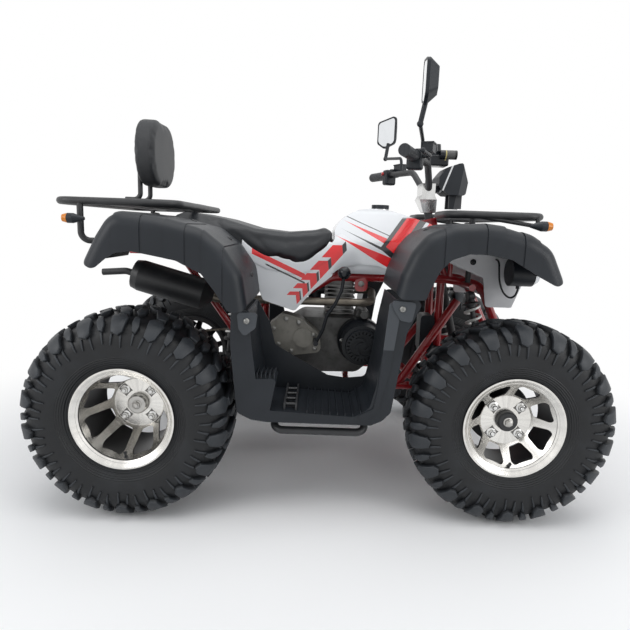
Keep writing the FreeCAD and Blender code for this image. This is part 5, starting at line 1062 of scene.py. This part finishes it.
def axle_nut():
    return joined([
        spun("washer", [(-0.001, 0.0), (-0.001, 0.0135), (0.0010, 0.0135), (0.0018, 0.0125), (0.0018, 0.0)]),
        nut("hexagon", 0.0115, 0.001, 0.010),
        spun("spindle", [(0.009, 0.0), (0.009, 0.0075), (0.0135, 0.0075), (0.0145, 0.006), (0.0145, 0.0)], 20),
    ], "axle_nut")


def valve():
    return spun("valve", [(-0.004, 0.0), (-0.004, 0.0055), (0.002, 0.0055), (0.005, 0.0040), (0.010, 0.0038),
                          (0.011, 0.0045), (0.017, 0.0045), (0.018, 0.0035), (0.018, 0.0)], 20)


RIM_DEPTH = -0.020
lug_model, nut_model, valve_model = lug_set(RIM_DEPTH), axle_nut(), valve()
for end, x in (("front", WHEEL_X), ("rear", -WHEEL_X)):
    hub = "front_hub_left" if end == "front" else "rear_axle"
    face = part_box(hub)[1].y
    for hand, flip in HANDS:
        body = wheel_body(end, hand)
        at = flip @ Matrix.Translation((x, face, AXLE_Z))
        finish_piece(copy_of(lug_model, at, f"{end}_lugs_{hand}"), body, bright_steel)
        finish_piece(copy_of(nut_model, at, f"{end}_axle_nut_{hand}"), body, plain_steel)
        side = 1 if hand == "left" else -1
        start = (x, side * 0.7, AXLE_Z - VALVE_CIRCLE)
        stem = copy_of(valve_model, seat_of(f"{end}_rim_{hand}", start, (0, -side, 0)), f"{end}_valve_{hand}")
        finish_piece(stem, body, cable_rubber)
drop(lug_model, nut_model, valve_model)
print("wheel fittings are on")

# %% [markdown]
# ## Screws
# Button-head screws hold the fenders and the corner plates. The head is a low dome with a round socket. Flanged
# bolts hold the engine's covers and the cowl.

# %% Screws
screw = spun("screw", [(-0.002, 0.0), (-0.002, 0.0085), (0.0008, 0.0085), (0.0030, 0.0072), (0.0042, 0.0048),
                       (0.0042, 0.0034), (0.0014, 0.0031), (0.0014, 0.0)])
FENDER_SCREWS = [
    ("rear_fender_right", [(-0.495, 0.300), (-0.387, 0.300), (-0.281, 0.310), (-0.213, 0.330)]),
    ("front_fender_right", [(0.290, 0.310), (0.405, 0.320), (0.522, 0.320), (0.600, 0.330)]),
]
CORNER_SCREWS = [(-0.205, 0.568), (0.207, 0.614)]


def both_hands(node, start, way, model):
    """A copy on the right side and its mirror image on the left."""
    at = seat_of(node, start, way)
    return [copy_of(model, at), copy_of(model, MIRROR @ at)]


heads = []
for node, places in FENDER_SCREWS:
    for x, y in places:
        heads += both_hands(node, (x, -y, 1.0), (0, 0, -1), screw)
finish_piece(joined(heads, "fender_screws"), "chassis", dark_steel)
heads = []
for x, z in CORNER_SCREWS:
    heads += both_hands("footwell_right", (x, -0.9, z), (0, 1, 0), screw)
finish_piece(joined(heads, "corner_screws"), "chassis", dull_zinc)
drop(screw)

bolt = joined([
    spun("bolt_flange", [(-0.003, 0.0), (-0.003, 0.0095), (0.0012, 0.0095), (0.0026, 0.0070), (0.0026, 0.0)]),
    nut("bolt_head", 0.0068, 0.002, 0.0085),
], "bolt")
FAN_CENTRE = Vector((0.130, -0.6, 0.450))
FAN_BOLT_CIRCLE = 0.0665
COVER_BOLTS = [(0.0, 0.7), (0.29, 1.0), (0.6, 0.9), (0.96, 0.53), (1.0, 0.1), (0.43, 0.0), (0.12, 0.2)]
corners = [Vector((-0.178 + 0.178 * along, 0.0, 0.400 + 0.140 * up)) for along, up in COVER_BOLTS]
middle = sum(corners, Vector()) / len(corners)
heads = []
for corner in corners:
    spot = corner + (middle - corner) * 0.24
    at = seat_of("transmission_cover", (spot.x, -0.6, spot.z), (0, 1, 0))
    heads.append(copy_of(bolt, at @ Matrix.Scale(0.75, 4)))
for i in range(3):
    turn = math.radians(40 + 120 * i)
    spot = FAN_CENTRE + Vector((math.sin(turn), 0.0, math.cos(turn))) * FAN_BOLT_CIRCLE
    heads.append(copy_of(bolt, seat_of("fan_cover", spot, (0, 1, 0)) @ Matrix.Scale(0.7, 4)))
heads += both_hands("main_frame", (0.124, -0.6, 0.641), (0, 1, 0), bolt)
finish_piece(joined(heads, "engine_bolts"), "chassis", dull_zinc)

finish_piece(joined(both_hands("nose_cowl", (0.469, -0.6, 0.728), (0, 1, 0), bolt), "cowl_bolts"), "chassis",
             gloss_black)
drop(bolt)
print("screws and bolts are in")

# %% [markdown]
# ## Springs and dampers
# A shock absorber is a damper tube with a rod, an eye at each end and a coil spring round it. The spring is one
# small circle that the Screw modifier winds up, and its two open ends are filled.


# %% Springs and dampers
def along_line(start, end):
    """A matrix that puts a piece made on the Y axis onto the line from start to end."""
    way = (end - start).normalized()
    return Matrix.Translation(start) @ Vector((0, 1, 0)).rotation_difference(way).to_matrix().to_4x4()


def coil(name, radius, wire, low, high, turns):
    """A spring on the Y axis from low to high, closed at its ends."""
    ring = start_piece(name, bpy.ops.mesh.primitive_circle_add, vertices=10, radius=wire)
    ring.data.transform(Matrix.Translation((radius, 0, 0)))
    apply_modifier(ring, "SCREW", axis="Y", angle=math.tau, iterations=turns, screw_offset=(high - low) / turns,
                   steps=26, render_steps=26)
    ring.data.transform(Matrix.Translation((0, low, 0)))
    return in_edit(ring, ALL, weld(0.00001), (bpy.ops.mesh.fill_holes, {"sides": 12}), ALL, FACE_OUT)


def eye(length, wide=0.016):
    """The eye at one end: a short steel bush across the line."""
    bush = spun("eye", [(-0.010, 0.0), (-0.010, wide - 0.002), (-0.008, wide), (0.008, wide), (0.010, wide - 0.002),
                        (0.010, 0.0)])
    bush.data.transform(Matrix.Translation((0, length, 0)) @ Matrix.Rotation(math.pi / 2, 4, "Z"))
    return bush


def shock(length):
    """Spring and damper, both on the Y axis from 0 to length. The spring sits between cups at low and high."""
    low, high = length * 0.18, length * 0.92
    spring = coil("spring", 0.0228, 0.0045, low + 0.004, high - 0.004, 8)
    damper = joined([
        eye(0.0), eye(length),
        spun("lower_body", [(0.008, 0.0), (0.008, 0.010), (low - 0.008, 0.013), (low - 0.006, 0.0275),
                            (low - 0.001, 0.0285), (low - 0.001, 0.018), (length * 0.52, 0.018),
                            (length * 0.54, 0.0165), (length * 0.54, 0.0)]),
        spun("upper_body", [(length * 0.5, 0.0), (length * 0.5, 0.008), (high - 0.012, 0.008), (high - 0.010, 0.016),
                            (high + 0.001, 0.016), (high + 0.001, 0.0285), (high + 0.006, 0.0275),
                            (high + 0.010, 0.013), (length - 0.008, 0.010), (length - 0.008, 0.0)]),
    ], "damper")
    return spring, damper


SHOCK_ENDS = [
    ("front_left", Vector((0.536, 0.236, 0.2658)), Vector((0.470, 0.192, 0.620))),
    ("front_right", Vector((0.536, -0.236, 0.2658)), Vector((0.470, -0.192, 0.620))),
    ("rear", Vector((-0.33425, 0.0, 0.35045)), Vector((-0.27708, 0.0, 0.69983))),
]
springs, dampers = {}, {}
for name, foot, lug_top_sheen in SHOCK_ENDS:
    spring, damper = shock((lug_top_sheen - foot).length)
    for piece in (spring, damper):
        piece.data.transform(along_line(foot, lug_top_sheen))
    springs[name], dampers[name] = spring, damper
front_springs = joined([springs["front_left"], springs["front_right"]], "front_springs")
front_dampers = joined([dampers["front_left"], dampers["front_right"]], "front_dampers")
springs["rear"].name, dampers["rear"].name = "rear_spring", "rear_damper"
for piece in (front_springs, springs["rear"]):
    finish_piece(piece, "chassis", spring_steel, 60.0)
for piece in (front_dampers, dampers["rear"]):
    finish_piece(piece, "chassis", dark_steel)
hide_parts("front_shocks")
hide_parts("rear_shock")
print("spring faces:", len(front_springs.data.polygons))

# %% [markdown]
# ## Drive chain
# Inner and outer plates in turn, joined by rollers. The links follow the line round both sprockets: two arcs and the
# two straight runs that touch them.

# %% Drive chain
REAR_SPROCKET = (-0.535, 0.292, 0.1020)
FRONT_SPROCKET = (-0.090, 0.400, 0.0388)
CHAIN_Y = 0.168
LINKS = 84


def chain_line():
    """The pins' places in side view, evenly spaced along the closed line."""
    (x1, z1, r1), (x2, z2, r2) = REAR_SPROCKET, FRONT_SPROCKET
    slope = math.atan2(z2 - z1, x2 - x1)
    lean = math.asin((r1 - r2) / math.hypot(x2 - x1, z2 - z1))
    lug_top_sheen, low = slope + math.pi / 2 - lean, slope - math.pi / 2 + lean
    rear = [(x1 + r1 * math.cos(a), z1 + r1 * math.sin(a)) for a in np.linspace(lug_top_sheen, low + math.tau, 60)]
    front = [(x2 + r2 * math.cos(a), z2 + r2 * math.sin(a)) for a in np.linspace(low, lug_top_sheen, 30)]
    loop = np.array(rear + front + rear[:1])
    reach = np.concatenate([[0.0], np.cumsum(np.linalg.norm(np.diff(loop, axis=0), axis=1))])
    at = np.linspace(0.0, reach[-1], LINKS + 1)
    return np.stack([np.interp(at, reach, loop[:, 0]), np.interp(at, reach, loop[:, 1])], axis=1)


def plate(pitch, y, wall, waist=0.0026, end=0.0042):
    """One plate of a link, waisted between its two pins, from y to y + wall."""
    outline = []
    for centre, start, side in ((0.0, 90, -1), (pitch, -90, 1)):
        turns = [math.radians(start + a) for a in (0, 45, 90, 135, 180)]
        outline += [(centre + end * math.cos(turn), y, end * math.sin(turn)) for turn in turns]
        outline.append((pitch / 2, y, side * waist))
    piece = from_outline("plate", outline, fill_type="NGON")
    return in_edit(piece, ALL, extrude(0, wall, 0), ALL, FACE_OUT)


def link(pitch, y, name, wall=0.0011):
    """A pair of plates whose outer faces are at -y and y, and a roller on the first pin."""
    pair = [plate(pitch, -y, wall), plate(pitch, y - wall, wall)]
    return joined(pair + [copy_of(roller, STAY)], name)


pins = chain_line()
pitch = float(np.linalg.norm(pins[1] - pins[0]))
roller = spun("roller", [(-0.0030, 0.0), (-0.0030, 0.0040), (0.0030, 0.0040), (0.0030, 0.0)], 10)
inner_link, outer_link = link(pitch, 0.0042, "inner_link"), link(pitch, 0.0055, "outer_link")
drop(roller)
links = []
for i in range(LINKS):
    start, end = pins[i], pins[i + 1]
    tilt = math.atan2(end[1] - start[1], end[0] - start[0])
    place = Matrix.Translation((start[0], CHAIN_Y, start[1])) @ turn_y(-tilt)
    links.append(copy_of(outer_link if i % 2 else inner_link, place))
drop(inner_link, outer_link)
chain = finish_piece(joined(links, "drive_chain"), "chassis", chain_steel, 30.0)
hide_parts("chain")
print("chain pitch in mm:", round(pitch * 1000, 2), "faces:", len(chain.data.polygons))

# %% [markdown]
# ## Lamp cable
# A thin cable leaves the cowl by a grommet, hangs in a loop and comes up into the lamp's socket. Its line is a
# smooth spline through the route of the solid.

# %% Lamp cable
ROUTE = [(0.540, -0.1990, 0.738), (0.540, -0.2260, 0.738), (0.541, -0.2310, 0.705), (0.544, -0.2340, 0.672),
         (0.554, -0.2410, 0.640), (0.574, -0.2500, 0.622), (0.590, -0.2590, 0.634), (0.592, -0.2620, 0.6541)]
LEAD_RADIUS = 0.003
line = bpy.data.curves.new("lamp_lead", "CURVE")
line.dimensions = "3D"
spline = line.splines.new("NURBS")
spline.points.add(len(ROUTE) - 1)
for point, place in zip(spline.points, ROUTE):
    point.co = (*place, 1.0)
spline.order_u = 3
spline.use_endpoint_u = True
line.resolution_u = 12
line.bevel_depth = LEAD_RADIUS
line.bevel_resolution = 4
line.use_fill_caps = True
lead = bpy.data.objects.new("lamp_lead", line)
bpy.context.scene.collection.objects.link(lead)
line.materials.append(cable_rubber.material)
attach(lead, "chassis")
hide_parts("lamp_cable")
print("lamp lead has", len(ROUTE), "points")

# %% [markdown]
# ## Mirror glass
# The glass fills the recess of each head: its outline with rounded corners, a hair thinner than the recess is deep.

# %% Mirror glass
MIRROR_OUTLINE = [(-0.5, -0.36), (0.1, -0.5), (0.5, -0.32), (0.5, 0.36), (-0.5, 0.5)]
MIRROR_WIDE, MIRROR_HIGH = 0.092, 0.126
MIRROR_X, MIRROR_Y, MIRROR_Z = 0.243, 0.385, 1.211
GLASS_SHARE = 0.89
GLASS_FRONT = 0.0026


def mirror_pane(name, sign, turn):
    """Sign is 1 on the left and -1 on the right. Turn is how many degrees the mirror looks inward."""
    places = [(GLASS_FRONT, sign * across * MIRROR_WIDE * GLASS_SHARE, up * MIRROR_HIGH * GLASS_SHARE)
              for across, up in MIRROR_OUTLINE]
    pane = from_outline(name, places, fill_type="NGON")
    in_edit(
        pane,
        ALL,
        (bpy.ops.mesh.bevel, {"offset": 0.012, "segments": 6, "affect": "VERTICES"}),
        ALL,
        extrude(-0.0018, 0, 0),
        (bpy.ops.mesh.inset, {"thickness": 0.0012, "depth": 0.0}),
        ALL,
        FACE_OUT,
    )
    around = Matrix.Rotation(sign * math.radians(turn), 4, "Z")
    pane.data.transform(Matrix.Translation((MIRROR_X, sign * MIRROR_Y, MIRROR_Z)) @ around)
    return finish_piece(pane, "steering", mirror_glass)


mirror_pane("mirror_glass_left", 1, 44.0)
mirror_pane("mirror_glass_right", -1, 5.0)
print("mirror glass is in")

# %% [markdown]
# ## Lamp, dial and button on the bar
# The lamp's glass is a rounded block with a raised rim. The gauge gets a dial with a raised rim, and the right
# switch box its red button. All of it turns with the bar.


# %% Lamp glass, dial and button
def rounded_pane(name, wide, high, thick, corner, rim):
    """A rounded rectangle that faces +Y, with a rim round a sunken pane."""
    pane = start_piece(name, bpy.ops.mesh.primitive_plane_add, size=1.0)
    for vertex in pane.data.vertices:
        vertex.co = (vertex.co.x * wide, 0.0, -vertex.co.y * high)
    return in_edit(
        pane,
        ALL,
        (bpy.ops.mesh.bevel, {"offset": corner, "segments": 6, "affect": "VERTICES"}),
        ALL,
        extrude(0, thick, 0),
        (bpy.ops.mesh.inset, {"thickness": rim * 0.4, "depth": 0.0}),
        (bpy.ops.mesh.inset, {"thickness": rim * 0.6, "depth": -thick * 0.5}),
        (bpy.ops.mesh.inset, {"thickness": rim, "depth": 0.0}),
        ALL,
        FACE_OUT,
    )


glass = rounded_pane("pod_glass", 0.088, 0.048, 0.004, 0.014, 0.003)
glass_at = seat_of("headlight_pod", (0.7, 0.0, 1.000), (-1, 0, 0))
glass.data.transform(glass_at @ Matrix.Translation((0, -0.001, 0)))
finish_piece(glass, "steering", lamp_lens)

dial = spun("dial", [(-0.001, 0.0), (-0.001, 0.0235), (0.0025, 0.0235), (0.0030, 0.0225), (0.0020, 0.0205),
                     (0.0008, 0.0205), (0.0008, 0.0)], 48)
dial.data.transform(seat_of("gauge", (0.361, 0.0, 1.4), (0, 0, -1)))
finish_piece(dial, "steering", gauge_finish)

button = spun("start_button", [(-0.002, 0.0), (-0.002, 0.0075), (0.004, 0.0075), (0.0055, 0.0060), (0.0055, 0.0)])
button.data.transform(seat_of("controls", (0.0, 0.280, 1.036), (1, 0, 0)))
finish_piece(button, "steering", button_red)
print("lamp, dial and button are in")

# %% [markdown]
# ## Studio
# A plain pale floor that fades into a white backdrop, a wide overhead lamp and two soft side lamps. Only what the
# camera, a gloss or a glass sees of the backdrop is pure white; the light it gives stays at a plain level.

# %% Studio
bpy.context.scene.view_settings.view_transform = "Standard"
world = bpy.data.worlds.new("studio")
bpy.context.scene.world = world
sky = Graph(world)
seen = sky.directly_seen()
shown = sky.node("ShaderNodeBackground", {}, {"Color": (1.0, 1.0, 1.0)})
light = sky.node("ShaderNodeBackground", {}, {"Color": (0.93, 0.96, 1.0), "Strength": 0.55})
pick = sky.node("ShaderNodeMixShader", {}, {0: seen, 1: light, 2: shown})
sky.node("ShaderNodeOutputWorld", {}, {0: pick})

FADE_FROM, FADE_TO = 0.9, 1.9
floor = start_piece("floor", bpy.ops.mesh.primitive_circle_add, vertices=96, radius=9.0, fill_type="NGON")
floor_finish = Finish("floor")
fx, fy = floor_finish.parts(floor_finish.place)[:2]
far = (fx * fx + fy * fy).maths("SQRT").rise(FADE_FROM, FADE_TO) * floor_finish.directly_seen()
floor_finish.surface(Base_Color=(0.93, 0.93, 0.93), Roughness=0.7)
glow = floor_finish.node("ShaderNodeEmission", {}, {"Color": (1.0, 1.0, 1.0), "Strength": 1.0})
floor_skin = Wire(floor_finish, floor_finish.shader.outputs[0])
floor_mix = floor_finish.node("ShaderNodeMixShader", {}, {0: far, 1: floor_skin, 2: glow})
floor_finish.tree.links.new(floor_mix.socket, floor_finish.output.inputs[0])
floor.data.materials.append(floor_finish.material)


def lamp(name, place, target, size, watts):
    bpy.ops.object.select_all(action="DESELECT")
    bpy.ops.object.light_add(type="AREA", location=place)
    made = bpy.context.object
    made.name = name
    made.data.shape = "RECTANGLE"
    made.data.size, made.data.size_y = size
    made.data.energy = watts
    made.rotation_euler = (Vector(target) - Vector(place)).to_track_quat("-Z", "Y").to_euler()


lamp("overhead", (0.2, -0.6, 3.2), (0.0, 0.0, 0.5), (3.2, 2.4), 44.0)
lamp("left_soft", (-3.0, -2.2, 1.9), (-0.3, 0.0, 0.5), (1.6, 1.6), 36.0)
lamp("right_soft", (2.9, -2.2, 1.6), (0.4, 0.0, 0.4), (1.4, 1.6), 30.0)
print("studio ready")
